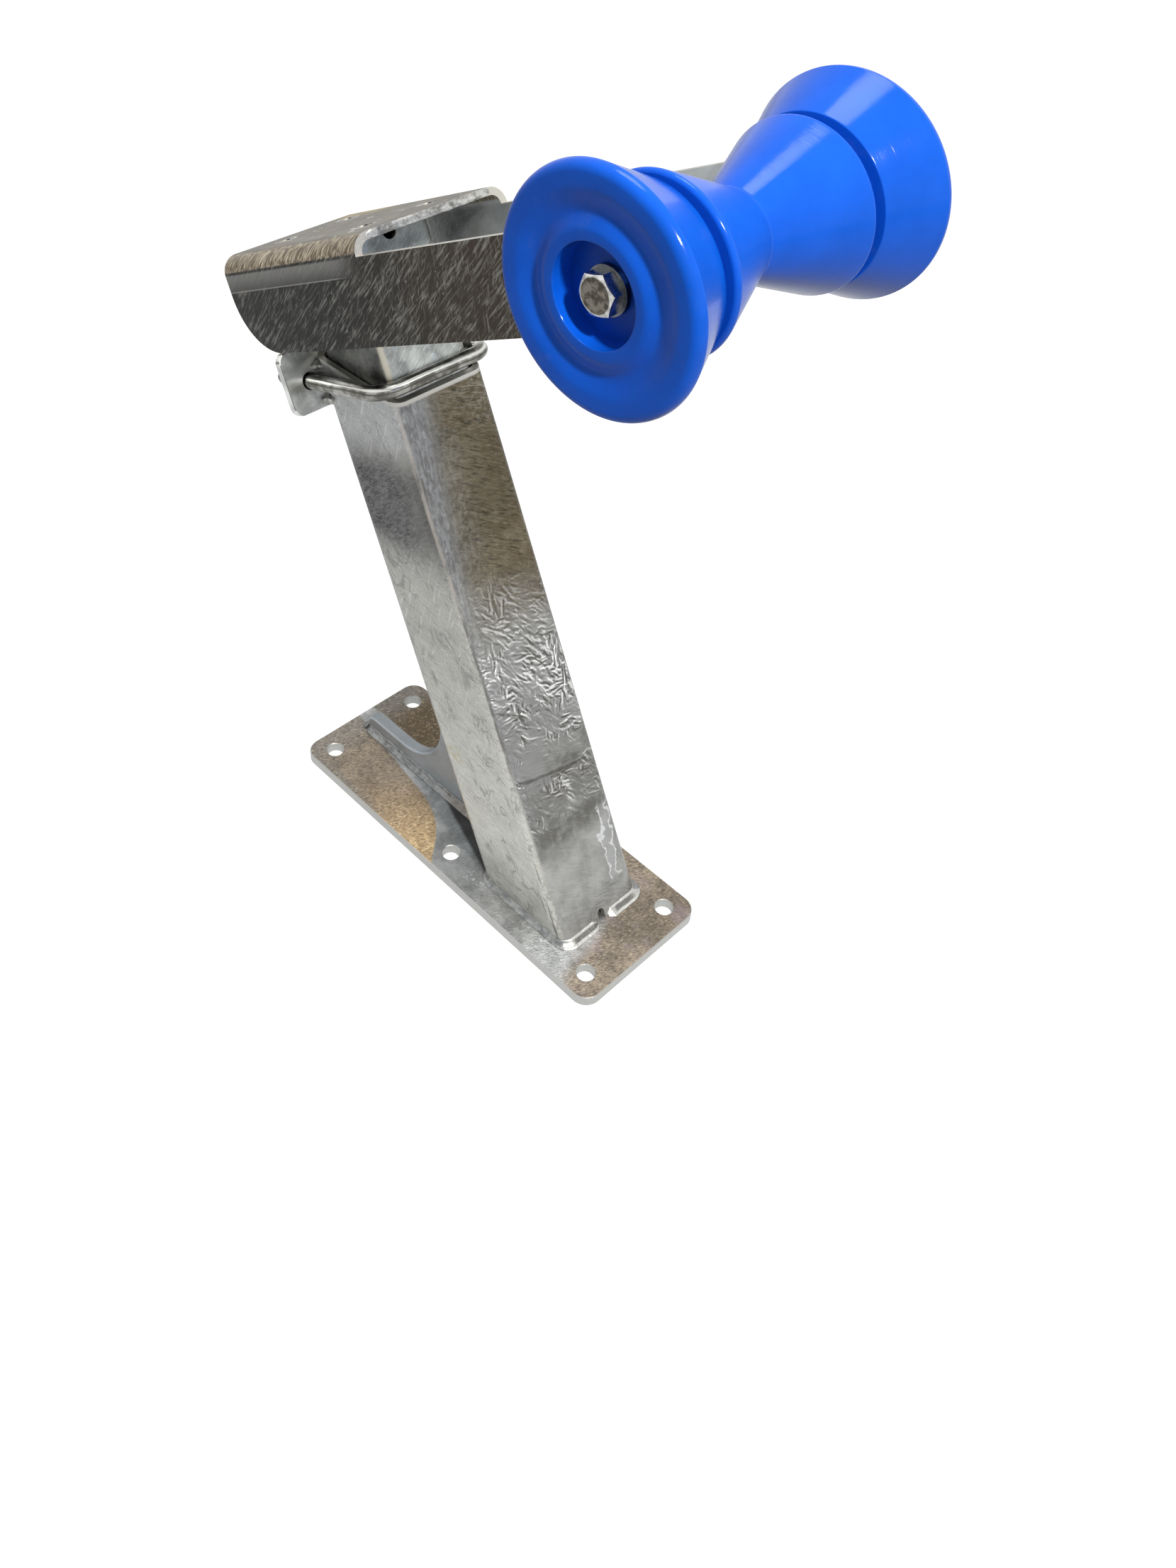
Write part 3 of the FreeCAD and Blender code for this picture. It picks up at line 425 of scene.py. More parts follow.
def post_front_tone(f, p, fold_shading_and_relief):
    """A painted brown reflection with fine wrinkles at the top, crumpled zinc below with the painted
    light, shade and highlights of its folds, painted shade along and below a crease, smooth grey at the
    foot.
    """
    height = p.along(UP)
    across = p.along(LEFT)
    drift = f.noise(p, 0.045, 3.0) - 0.5
    level = height + drift * 0.03
    cloud = f.noise(p, 0.020, 5.0, 0.6)
    hairs = f.strokes(p, (0.0, 0.86, -0.51), 0.0014, 0.011, 4.0, 0.9)
    level_hairs = f.strokes(p, (0.0, 0.97, -0.24), 0.0014, 0.009, 4.0, 0.9)
    mottle = f.noise(p, 0.0030, 4.0, 0.7)

    patches = f.noise(p, 0.026, 5.0, 0.65)
    # Painted brown reflection, with dark and light hairs drawn over it
    brown = f.mix(patches.rise(0.36, 0.66), FRONT_BROWN_REFLECTION, FRONT_OLIVE_REFLECTION)
    brown = f.mix(hairs.rise(0.48, 0.32) * 0.75, brown, FRONT_DARK)
    brown = f.mix(level_hairs.rise(0.44, 0.30) * 0.45, brown, FRONT_DARK)
    brown = f.mix(hairs.rise(0.55, 0.72) * 0.40, brown, FRONT_HAIR)
    brown = f.scale(brown, mottle * 0.9 + 0.55)
    speckled = f.mix(mottle.rise(0.36, 0.66), FRONT_SPECKLE_DARK, FRONT_SPECKLE_LIGHT)
    brown = f.mix((across + drift * 0.04).rise(0.008, -0.016) * 0.50, brown, speckled)
    brown = f.mix(level_hairs.rise(0.58, 0.74) * 0.35, brown, FRONT_LEVEL_HAIR)

    grey = f.mix(f.noise(p, 0.014, 4.0, 0.6).rise(0.36, 0.62), FRONT_GREY, FRONT_LIGHT_GREY)
    low_grey = f.mix(cloud.rise(0.3, 0.7), FOOT_GREY, FOOT_LIGHT_GREY)
    grey = f.mix(level.rise(*FOOT_START), grey, low_grey)
    grey = f.scale(grey, hairs * 0.5 + 0.75)
    grey = f.mix(level_hairs.rise(0.56, 0.74) * 0.30, grey, FRONT_GREY_HAIR)
    hatched = level.rise(*HATCHING_START) * (level + across * 0.3).rise(*HATCHING_END)
    # Painted shade in a band below the crease
    under_crease_shade = (height + across * 0.23).rise(0.105, 0.100) * level.rise(0.070, 0.085)
    grey = f.mix(under_crease_shade * 0.60, grey, UNDER_CREASE_SHADE)

    crumpled_level = level + across * 0.12
    crumpled = crumpled_level.rise(*CRUMPLED_START) * crumpled_level.rise(*CRUMPLED_END)
    # Painted light, shade and highlights of the crumpled folds
    lit = fold_shading_and_relief + (level + across * 0.5).rise(0.135, 0.175) * 0.10
    fold_light = f.mix(lit.rise(0.16, 0.46), FOLD_SHADE, FOLD_GREY)
    fold_light = f.mix(lit.rise(0.50, 0.70), fold_light, FOLD_PALE)
    fold_light = f.mix(lit.rise(0.68, 0.88), fold_light, FOLD_HIGHLIGHT)
    fold_light = f.scale(fold_light, hairs * 0.5 + cloud * 0.5 + 0.52)
    tone = f.mix(level.rise(*BROWN_START), grey, brown)
    tone = f.mix(hatched * 0.40, tone, fold_light)
    below = level.rise(0.060, 0.076) * level.rise(0.105, 0.098) * 0.55
    glinting = (mottle * 0.5 + level_hairs * 0.5).rise(0.48, 0.58)
    top_glints = level.rise(0.320, 0.372) * across.rise(-0.012, 0.030) * glinting
    tone = f.mix(top_glints * 0.45, tone, FRONT_TOP_GLINT)
    tone = f.mix((crumpled * 0.95).at_least(below), tone, fold_light)

    smooth = level.rise(*SMOOTH_START) * level.rise(*SMOOTH_END)
    smooth = smooth * (across + drift * 0.05).rise(0.003, -0.005)
    tone = f.mix(smooth * 0.75, tone, FRONT_SMOOTH)
    # Painted shade along the crease line
    crease = abs(height + across * CREASE_FALL - CREASE_AT + drift * 0.012).rise(0.0018, 0.0004)
    tone = f.mix(crease * cloud.rise(0.36, 0.56) * 0.7, tone, CREASE_SHADE)
    streaks = f.strokes(p, (0.0, 0.0, 1.0), 0.0022, 0.026, 3.0, 0.4)
    low = level.rise(0.075, 0.045)
    tone = f.mix(low * streaks.rise(0.56, 0.74) * 0.40, tone, FOOT_STREAK)
    shining = abs(across - 0.004).rise(0.0045, 0.001)
    shining = shining * level.rise(0.066, 0.076) * level.rise(0.102, 0.092)
    tone = f.mix(shining * fold_shading_and_relief.rise(0.44, 0.62) * 0.8, tone, FRONT_SHINE)
    swerve = (f.noise(p, 0.010, 2.0) - 0.5) * 0.020
    from_run = abs(across - RUN_AT - (height - 0.020) * 0.10 + swerve)
    stretch = height.rise(*RUN_START) * height.rise(*RUN_END)
    tone = f.mix(from_run.rise(0.0040, 0.0030) * stretch * 0.30, tone, ZINC_RUN)
    rim = abs(from_run - 0.0032 + (patches - 0.5) * 0.008).rise(0.0011, 0.0004)
    return f.mix(rim * stretch * 0.8, tone, ZINC_RUN_RIM)


def outer_post_finish():
    """Galvanised tube: pale sides with a painted dark reflection band, a front with a painted brown
    reflection over crumpled zinc with painted light and shade of its folds, and painted highlights on its
    corners and rim.
    """
    f = Finish("outer_post_steel")
    p = f.post_place()
    height = p.along(UP)
    across = p.along(LEFT)
    front = f.facing.along(POST_OUT)
    # Painted light and shade of crumpled folds: how fold strokes climb over a small step; the same
    # pattern also feeds the bump
    falling = f.slope(f.strokes, p, (0, 0.0011, 0.0009), (0.0, 0.64, -0.77), 0.0038, 0.013, 3.0, 1.2)
    level = f.slope(f.strokes, p, (0, 0.0004, 0.0013), (0.0, 0.96, -0.28), 0.0038, 0.012, 3.0, 1.2)
    steep = f.slope(f.strokes, p, (0, 0.0014, -0.0003), (0.0, 0.22, 0.97), 0.0036, 0.012, 3.0, 1.2)
    patch = f.noise(p.plus((0, 0.3, 0)), 0.020, 3.0).rise(0.44, 0.54)
    steep_patch = f.noise(p.plus((0, 0, 0.35)), 0.018, 3.0).rise(0.54, 0.62)
    fold_shading_and_relief = falling * patch + level * (1 - patch)
    fold_shading_and_relief = fold_shading_and_relief * (1 - steep_patch) + steep * steep_patch
    depth = f.noise(p.plus((0, 0.7, 0)), 0.015, 3.0).rise(0.34, 0.64) * 2.6 + 0.7
    fold_shading_and_relief = fold_shading_and_relief * depth + 0.5
    side_tone = post_side_tone(f, p)
    front_tone = post_front_tone(f, p, fold_shading_and_relief)

    sparkle = f.noise(p.times((1, 1, 0.55)), 0.0032, 4.0, 0.65, 0.6)
    strip_edge = height.at_least(0.20) * 0.115 - 0.0545
    strip = (across - strip_edge + (sparkle - 0.5) * 0.016).rise(0.009, -0.008)
    strip = strip * height.rise(0.040, 0.090)
    drawn = f.strokes(p, (0.0, 0.10, 0.995), 0.0014, 0.014, 4.0, 0.6)
    speckled = drawn * 0.4 + sparkle * 0.6
    strip_tone = f.mix(speckled.rise(0.38, 0.60), STRIP_DARK, STRIP_LIGHT)
    strip_tone = f.mix(sparkle.rise(0.60, 0.74) * 0.6, strip_tone, STRIP_SPARKLE)
    by_corner = (across - strip_edge).rise(0.002, -0.009) * 0.36 + 0.40
    front_tone = f.mix(strip * by_corner, front_tone, strip_tone)
    tone = f.mix(front.rise(0.62, 0.86), side_tone, front_tone)

    broken = f.noise(p.times((1, 1, 0.2)), 0.005, 4.0, 0.6)
    edge_drift = front + (broken - 0.5) * 0.16
    # Painted cream highlight along the rounded corners
    corner_highlight = edge_drift.rise(0.48, 0.60) * edge_drift.rise(0.80, 0.70)
    upper = height.rise(0.200, 0.260)
    tone = f.mix(corner_highlight * (upper * 0.5 + 0.22) * broken.rise(0.34, 0.60), tone, CORNER_HIGHLIGHT_CREAM)
    dark_line = edge_drift.rise(0.60, 0.66) * edge_drift.rise(0.86, 0.74) * height.rise(0.265, 0.225)
    dark_line = dark_line * height.rise(0.100, 0.135)
    tone = f.mix(dark_line * broken.rise(0.34, 0.52) * 0.7, tone, CORNER_DARK)
    thin_line = front.rise(0.28, 0.34) * front.rise(0.46, 0.40) * height.rise(0.06, 0.03)
    tone = f.mix(thin_line * broken.rise(0.36, 0.52) * 0.7, tone, CORNER_LINE)

    # Painted highlight along the rim's edge
    rim_highlight = f.place.along(UP).rise(POST_RIM - 0.0030, POST_RIM - 0.0016)
    tone = f.mix(rim_highlight, tone, RIM_HIGHLIGHT)

    on_front = front.rise(0.6, 0.9)
    rumpled = height.rise(0.055, 0.075) * height.rise(0.235, 0.190) * 2.0 + 0.3
    relief = fold_shading_and_relief * on_front * rumpled * 0.5 + f.noise(p, 0.006, 4.0, 0.6) * 0.6 + sparkle * 0.25
    roughness = f.noise(p, 0.014, 4.0) * 0.20 + 0.26
    return f.set(Metallic=0.75, Base_Color=tone, Roughness=roughness, Normal=f.bump(relief, 0.0005))


def base_plate_finish():
    """Galvanised plate with a bronze and gold sheen and painted gold glints, grey by the post and the
    gusset, with painted shadows under the post and on the far side, and its sides and arrises painted
    light.
    """
    f = Finish("base_plate_steel")
    p = f.place
    x = p.along((1, 0, 0))
    y = p.along(LEFT)
    top = f.facing.along(UP)
    drift = (f.noise(p, 0.03, 3.0) - 0.5) * 0.012
    grain = f.strokes(p, (0.35, 0.94, 0.0), 0.0011, 0.0026)
    fine = f.noise(p, 0.0007, 2.0)
    cloud = f.noise(p, 0.018, 5.0, 0.65)

    bronze = f.mix(cloud.rise(0.36, 0.66), PLATE_BROWN, PLATE_BRONZE)
    # Painted shadow of the gusset and post on the plate's far side
    far_shadow = y.rise(0.004, 0.012) * x.rise(0.09, 0.03)
    bronze = f.mix(far_shadow * 0.85, bronze, PLATE_FAR_SHADOW)
    gold_zone = (x * 0.75 - y * 0.5).rise(-0.062, 0.012) * y.rise(0.0, -0.02) * x.rise(0.04, 0.02)
    bronze = f.mix(gold_zone * 0.82, bronze, PLATE_OCHRE)
    # Painted gold glints in the gold zone
    hot_glints = gold_zone * x.rise(-0.045, -0.012) * f.noise(p.plus((0, 0, 0.8)), 0.006, 4.0).rise(0.48, 0.62)
    bronze = f.mix(hot_glints * 0.6, bronze, PLATE_HOT_GOLD_GLINT)
    tail_grey = x.rise(-0.122, -0.148).at_least(abs(y).rise(0.047, 0.058) * x.rise(-0.040, -0.090))
    bronze = f.mix(tail_grey * 0.6, bronze, PLATE_TAIL)
    front_gold = x.rise(0.11, 0.13) * f.noise(p.plus((0, 0.4, 0)), 0.012, 3.0).rise(0.46, 0.62) * 0.35
    bronze = f.scale(bronze, f.noise(p, 0.0028, 4.0, 0.7) * 1.1 + 0.45)
    bronze = f.mix(grain.rise(0.46, 0.32) * 0.6, bronze, PLATE_DARK)
    # Painted gold glints on the grain
    sparkle = grain.rise(0.56, 0.70) * (gold_zone * 0.9).at_least(front_gold).at_least(0.25)
    bronze = f.mix(sparkle, bronze, PLATE_GOLD_GLINT)
    bronze = f.scale(bronze, 1.0 - x.rise(0.10, 0.13) * y.rise(-0.012, 0.010) * 0.24)
    pink = f.noise(p.plus((0.6, 0, 0)), 0.022, 3.0).rise(0.50, 0.66) * x.rise(0.08, 0.12)
    bronze = f.mix(pink * 0.4, bronze, PLATE_PINK)

    slope = (x + 0.141) * -0.17 - 0.005
    drop = (x + 0.050).at_least(0.0)
    boundary = slope - drop * drop * 13.0 + drift * 0.3
    near_grey = (y - boundary).rise(-0.0010, 0.0015) * y.rise(0.015, 0.007)
    wide_grey = x.rise(-0.030, 0.000) * (y - boundary).rise(-0.001, 0.0015)
    front_edge = (y + 0.005).at_least(0.0) * 0.72 + (y + 0.005).at_most(0.0) * 0.20
    ends = (x + front_edge + drift).rise(0.128, 0.112)
    grey_zone = near_grey.at_least(wide_grey) * ends
    grey = f.mix(cloud.rise(0.34, 0.66), PLATE_GREY, PLATE_LIGHT_GREY)
    grey = f.scale(grey, grain * 0.5 + fine * 0.4 + 0.55)
    shade = y.rise(-0.024, -0.038) * x.rise(-0.02, 0.0) * x.rise(0.10, 0.05)
    grey = f.mix(shade * 0.22, grey, PLATE_SHADE)
    blotch = f.noise(p.plus((0, 0, 0.5)), 0.005, 4.0, 0.65).rise(0.58, 0.70)
    blotch = blotch * abs(y + 0.043).rise(0.006, 0.002)
    grey = f.mix(blotch * x.rise(0.0, 0.03) * 0.8, grey, BRIGHT_ZINC)
    tone = f.mix(grey_zone, bronze, grey)
    # Painted shadow under the leaning post
    post_shadow = (y + x * 0.341 + 0.0245).rise(-0.0010, 0.0025) * y.rise(-0.001, -0.005)
    post_shadow = post_shadow * x.rise(-0.062, -0.045) * x.rise(0.046, 0.036)
    tone = f.mix(post_shadow * 0.85, tone, PLATE_POST_SHADOW)
    # Painted light on the sides and hole walls, and a painted highlight on the arrises
    arris_highlight = top.rise(0.97, 0.80) * top.rise(0.15, 0.50)
    tone = f.mix(top.rise(0.8, 0.4), tone, PLATE_LIT_EDGE)
    tone = f.mix(arris_highlight * 0.6, tone, PLATE_ARRIS_HIGHLIGHT)
    relief = grain * 0.8 + f.noise(p, 0.005, 3.0) + fine * 0.3
    roughness = f.noise(p, 0.012, 4.0) * 0.22 + 0.30
    return f.set(Metallic=0.8, Base_Color=tone, Roughness=roughness, Normal=f.bump(relief, 0.0003))


def gusset_finish():
    """Smooth blue-grey galvanised plate, with painted shade that darkens its edges."""
    f = Finish("gusset_steel")
    p = f.place
    cloud = f.noise(p, 0.03, 5.0, 0.6)
    tone = f.mix(cloud.rise(0.32, 0.68), GUSSET_GREY, GUSSET_LIGHT)
    tone = f.mix(p.along((1, 0, -0.5)).rise(-0.080, -0.125) * 0.5, tone, GUSSET_TAIL)
    tone = f.scale(tone, f.noise(p, 0.0015, 3.0) * 0.3 + 0.86)
    # Painted shade: faces not facing sideways, such as the top edge, are darkened
    edge = abs(f.facing.along(LEFT)).rise(0.8, 0.3)
    tone = f.scale(tone, 1.0 - edge * 0.42)
    relief = f.noise(p, 0.006, 4.0)
    normal = f.bump(relief, 0.0002)
    return f.set(Metallic=0.55, Base_Color=tone, Roughness=cloud * 0.2 + 0.36, Normal=normal)


def head_finish():
    """Zinc-coated plate with a painted dark reflection on its arms: dense slanted scratches, a brown
    fold, a paler band below it, painted glints round the winch holes, and an inside painted lighter as
    lit.
    """
    f = Finish("head_steel")
    p = f.post_place()
    out = p.along((1, 0, 0))
    drop = (p.along(UP) - HEAD_TOP * MM) * -1
    side = abs(f.facing.along(LEFT))
    up = f.facing.along(POST_UP)
    ahead = f.facing.along(POST_OUT)
    cloud = f.noise(p, 0.020, 4.0, 0.6)

    scratches = f.strokes(p, (0.86, 0.05, 0.51), 0.0013, 0.020, 4.0, 0.6)
    crossed = f.strokes(p.plus((0.2, 0, 0)), (0.62, 0.05, 0.78), 0.0012, 0.010, 4.0, 0.6)
    # Painted dark reflection on the arms, browner and lighter towards the front
    dark = f.mix(cloud.rise(0.35, 0.68), ARM_REFLECTED_BLACK, ARM_REFLECTED_DARK)
    dark = f.mix(out.rise(0.03, 0.20) * 0.7, dark, ARM_REFLECTED_BROWN)
    dense = f.noise(p.plus((0, 0, 0.9)), 0.014, 4.0, 0.65).rise(0.30, 0.62)
    dark = f.mix(scratches.rise(0.50, 0.64) * (dense * 0.46 + 0.10), dark, ARM_SCRATCH)
    dark = f.mix(crossed.rise(0.55, 0.68) * (dense * 0.34 + 0.06), dark, ARM_CROSSED)
    dark = f.mix(scratches.rise(0.64, 0.80) * 0.35, dark, ARM_BRIGHT_SCRATCH)
    chips = f.noise(p.plus((0.5, 0, 0)), 0.004, 4.0, 0.6).rise(0.67, 0.73)
    dark = f.mix(chips * 0.5, dark, ARM_CHIP)
    steep = f.strokes(p.plus((0, 0, 0.4)), (0.22, 0.05, 0.97), 0.0013, 0.012, 4.0, 0.6)
    dark = f.mix(steep.rise(0.56, 0.72) * out.rise(0.04, 0.12) * 0.45, dark, ARM_STEEP_SCRATCH)
    dark = f.scale(dark, out.rise(-0.04, 0.10) * 0.30 + 0.72)
    band = drop.rise(0.0235, 0.0222) * out.rise(0.080, 0.050) * drop.rise(0.0110, 0.0125)
    pale = f.mix(drop.rise(0.024, 0.012), BAND_LOW, BAND_HIGH)
    pale = f.scale(pale, scratches * 0.5 + 0.75)
    dark = f.mix(band * 0.9, dark, pale)
    line = abs(drop - 0.0229).rise(0.0005, 0.0002) * out.rise(0.068, 0.045)
    dark = f.mix(line * 0.55, dark, BAND_LINE)

    brushing = f.strokes(p, (0.18, 0.98, 0.0), 0.0016, 0.022)
    web = f.mix(cloud.rise(0.38, 0.62), WEB_BROWN, WEB_GREY)
    web = f.scale(web, brushing * 0.7 + 0.65)
    rust = f.noise(p.plus((0, 0, 0.2)), 0.030, 3.0).rise(0.50, 0.64)
    web = f.mix(rust * 0.65, web, WEB_RUST)
    gold = (p.along(LEFT) - out * 0.10 - 0.038).rise(-0.010, 0.004) * out.rise(0.000, -0.040)
    web = f.mix(gold * cloud.rise(0.36, 0.56) * 0.6, web, WEB_GOLD)
    glints = f.noise(p.plus((0.3, 0, 0)), 0.006, 3.0).rise(0.68, 0.72)
    web = f.mix(glints * 0.8, web, WEB_GLINT)
    # Painted glints in rings round the winch holes
    for hole_out, hole_left in WINCH_HOLES:
        ring = p.plus((-hole_out, -hole_left, 0)).times((1, 1, 0)).length()
        web = f.mix(ring.rise(0.0092, 0.0070) * cloud.rise(0.40, 0.55) * 0.8, web, BRIGHT_ZINC)
    mirrored = f.node("CombineXYZ", {}, {0: out, 1: abs(p.along(LEFT)), 2: p.along(UP)})
    fold_strokes = f.strokes(mirrored, (0.42, -0.60, 0.68), 0.0014, 0.012, 3.0, 0.6)
    fold_tone = f.mix(fold_strokes.rise(0.40, 0.62), FOLD_BROWN, FOLD_TAN)
    fold_tone = f.mix(fold_strokes.rise(0.62, 0.76), fold_tone, FOLD_CREAM)
    fold = abs(up).rise(0.12, 0.22) * abs(up).rise(0.985, 0.94)
    tone = f.mix(abs(up).rise(0.75, 0.95), dark, web)
    tone = f.mix(fold * 0.9, tone, fold_tone)
    # Inside faces painted lighter, as lit
    inside = (abs(p.along(LEFT)) - HEAD_HALF).rise(-0.0035, -0.0045)
    lit_inside = f.mix(cloud.rise(0.3, 0.7), INSIDE_LIT_GREY, INSIDE_LIT_LIGHT)
    lit_inside = f.mix(out.rise(0.06, 0.14), lit_inside, INSIDE_LIT_ARM)
    tone = f.mix(inside * side.rise(0.8, 0.95), tone, lit_inside)
    tone = f.mix(abs(ahead).rise(0.7, 0.9), tone, HEAD_SAWN)
    edge = up.rise(0.6, 0.85) * drop.rise(0.010, 0.0115)
    tone = f.mix(edge, tone, ARM_EDGE)
    relief = scratches * 0.8 + crossed * 0.3 + f.noise(p, 0.006, 4.0)
    normal = f.bump(relief, 0.0002)
    return f.set(Metallic=0.75, Base_Color=tone, Roughness=cloud * 0.22 + 0.28, Normal=normal)


def inner_post_finish():
    """Galvanised tube, with painted shade that makes its sides darker than its front, and a painted
    highlight on its corners.
    """
    f = Finish("inner_post_steel")
    p = f.post_place()
    front = f.facing.along(POST_OUT)
    side = abs(f.facing.along(LEFT))
    cloud = f.noise(p, 0.016, 4.0, 0.6)
    wrinkles = f.strokes(p, (0.0, 0.80, 0.60), 0.0014, 0.012)
    # Painted shade: the sides are darker than the front
    dark = f.mix(cloud.rise(0.35, 0.65), INNER_SHADE_DARK, INNER_SHADE_SIDE)
    light = f.mix(cloud.rise(0.35, 0.65), INNER_GREY, INNER_LIGHT)
    light = f.mix(wrinkles.rise(0.58, 0.74) * 0.6, light, BRIGHT_ZINC)
    smudge = f.noise(p.plus((0, 0, 0.3)), 0.010, 4.0, 0.65).rise(0.54, 0.68)
    light = f.mix(smudge * 0.5, light, INNER_SMUDGE)
    tone = f.mix(front.rise(0.5, 0.8), dark, light)
    tone = f.scale(tone, wrinkles * 0.6 + 0.70)
    # Painted highlight along the corners
    corner_highlight = abs(front).at_least(side).rise(0.97, 0.80)
    tone = f.mix(corner_highlight * 0.9, tone, INNER_CORNER_HIGHLIGHT)
    relief = wrinkles * 0.5 + f.noise(p, 0.006, 4.0)
    normal = f.bump(relief, 0.0002)
    return f.set(Metallic=0.8, Base_Color=tone, Roughness=cloud * 0.2 + 0.26, Normal=normal)


def bright_zinc_finish(name, light, dark, roughness):
    """Shiny zinc with soft cloudy patches and painted reflection bands, dark and light, by how far each
    surface faces up, as on fasteners and the clamp plate.
    """
    f = Finish(name)
    p = f.place
    cloud = f.noise(p, 0.012, 4.0, 0.6)
    tone = f.mix(cloud.rise(0.40, 0.62), dark, light)
    # Painted reflection: a dark band and a light band by how far the surface faces up
    tilt = f.facing.along(UP) + (f.noise(p, 0.030, 2.0) - 0.5) * 0.5
    line = abs(tilt - 0.28).rise(0.16, 0.04)
    tone = f.mix(line * 0.75, tone, ZINC_REFLECTED_DARK_LINE)
    tone = f.mix(abs(tilt - 0.72).rise(0.20, 0.08) * 0.7, tone, ZINC_HIGHLIGHT_LINE)
    relief = f.noise(p, 0.004, 3.0)
    normal = f.bump(relief, 0.0001)
    return f.set(Metallic=1.0, Base_Color=tone, Roughness=cloud * 0.14 + roughness, Normal=normal)


def weld_finish():
    """Galvanised bead: bright towards the front of the post, dull elsewhere."""
    f = Finish("weld_zinc")
    p = f.place
    cloud = f.noise(p, 0.006, 4.0, 0.65)
    dull = f.mix(cloud.rise(0.34, 0.62), WELD_DULL, WELD_DULL_LIGHT)
    rough = p.along((1, 0, 0)).rise(-0.050, -0.030) * p.along((1, 0, 0)).rise(0.035, 0.030)
    dull = f.mix(rough * 0.5, dull, WELD_BROWN)
    bright = f.mix(cloud.rise(0.36, 0.58), WELD_GREY, WELD_BRIGHT)
    local = p.plus(-POST_FOOT)
    rise = local.along(UP)
    outwards = local.along((1, 0, 0)) - POST_HALF / POST_UP.z - rise * (POST_UP.x / POST_UP.z)
    share = rise / (rise + outwards).at_least(0.001)
    toes = abs(share - 0.5 + (cloud - 0.5) * 0.2).rise(0.16, 0.30)
    by_drain = abs(p.along(LEFT) - 0.009).rise(0.004, 0.002)
    blob = abs(p.along(LEFT)).rise(0.027, 0.034).at_least(by_drain)
    twin = f.mix(toes.at_least(blob * 0.8), WELD_TWIN_DARK, WELD_TWIN_LIGHT)
    front = outwards.rise(-0.0010, 0.0004) * local.along((1, 0, 0)).rise(0.030, 0.036)
    tone = f.mix(p.along(UP).rise(0.20, 0.25), dull, bright)
    tone = f.mix(front * p.along(UP).rise(0.06, 0.04), tone, twin)
    tone = f.scale(tone, f.noise(p, 0.0012, 3.0) * 0.5 + 0.75)
    relief = f.noise(p, 0.002, 4.0)
    normal = f.bump(relief, 0.0002)
    return f.set(Metallic=0.75, Base_Color=tone, Roughness=cloud * 0.2 + 0.26, Normal=normal)


def blue_finish():
    """Blue polyurethane, half glossy, with turning marks, smudges, worn rims, painted shade in the pocket
    and painted shade on the undersides.
    """
    f = Finish("blue_polyurethane")
    p = f.place.plus(-AXLE)
    cloud = f.noise(p, 0.03, 4.0, 0.6)
    tone = f.mix(cloud.rise(0.3, 0.7), BLUE, BLUE_LIGHT)
    smudge = f.noise(p.plus((0.4, 0, 0.1)), 0.016, 5.0, 0.7).rise(0.56, 0.74)
    outward = abs(f.facing.along(LEFT)).rise(0.5, 0.9)
    tone = f.mix(smudge * outward * 0.10, tone, BLUE_SMUDGE)
    radius = p.times((1, 0, 1)).length()
    worn = f.noise(p, 0.0022, 3.0, 0.6).rise(0.70, 0.76) * radius.rise(0.0560, 0.0585)
    tone = f.mix(worn * 0.5, tone, BLUE_WORN)
    # Painted shade in the pocket
    pocket_shade = radius.rise(0.0252, 0.0245) * abs(p.along(LEFT)).rise(HEAD_HALF + 0.020, HEAD_HALF + 0.030)
    tone = f.mix(pocket_shade * outward * 0.95, tone, BLUE_POCKET_SHADE)
    # Painted shade on the undersides
    underside_shade = f.facing.along(UP).rise(-0.35, -0.95) * (1 - outward)
    tone = f.scale(tone, 1.0 - underside_shade * 0.40)
    marks = f.node("CombineXYZ", {}, {0: radius, 1: p.along(LEFT), 2: 0.0})
    turning = f.noise(marks, 0.0006, 2.0)
    relief = turning * 0.9 + f.noise(p, 0.0035, 3.0) * 0.5
    roughness = f.noise(p, 0.012, 4.0) * 0.10 + 0.08 + outward * 0.26
    f.set(Specular_IOR_Level=0.20)
    return f.set(Base_Color=tone, Roughness=roughness, Normal=f.bump(relief, 0.00006))


def nylon_finish():
    """Dull white ring of the locking nut."""
    f = Finish("nylon")
    grain = f.noise(f.place, 0.002, 3.0)
    tone = f.mix(grain.rise(0.3, 0.7), NYLON_GREY, NYLON_WHITE)
    return f.set(Base_Color=tone, Roughness=grain * 0.1 + 0.4)


def axle_bolt_finish():
    """Bright zinc bolt whose flat end face is browner than its chamfer."""
    f = Finish("axle_bolt_zinc")
    p = f.place.plus(-AXLE)
    cloud = f.noise(p, 0.004, 4.0, 0.6)
    tone = f.mix(cloud.rise(0.35, 0.65), BOLT_GREY, BOLT_LIGHT)
    radius = p.times((1, 0, 1)).length()
    end = (f.facing.along(LEFT) * -1).rise(0.93, 0.985) * radius.rise(0.0088, 0.0082)
    face = f.mix(cloud.rise(0.38, 0.60), BOLT_END_DARK, BOLT_END_LIGHT)
    tone = f.mix(end, tone, face)
    relief = f.noise(p, 0.0016, 3.0)
    normal = f.bump(relief, 0.00012)
    return f.set(Metallic=1.0, Base_Color=tone, Roughness=cloud * 0.15 + 0.2, Normal=normal)


def new_piece(name, points, faces, material, body):
    """A smooth mesh that moves with a body and has its finish slot."""
    mesh = bpy.data.meshes.new(name)
    mesh.from_pydata(points, [], faces)
    mesh.validate()
    mesh.polygons.foreach_set("use_smooth", [True] * len(mesh.polygons))
    mesh.materials.append(material)
    piece = bpy.data.objects.new(name, mesh)
    bpy.context.scene.collection.objects.link(piece)
    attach(piece, body)
    return piece


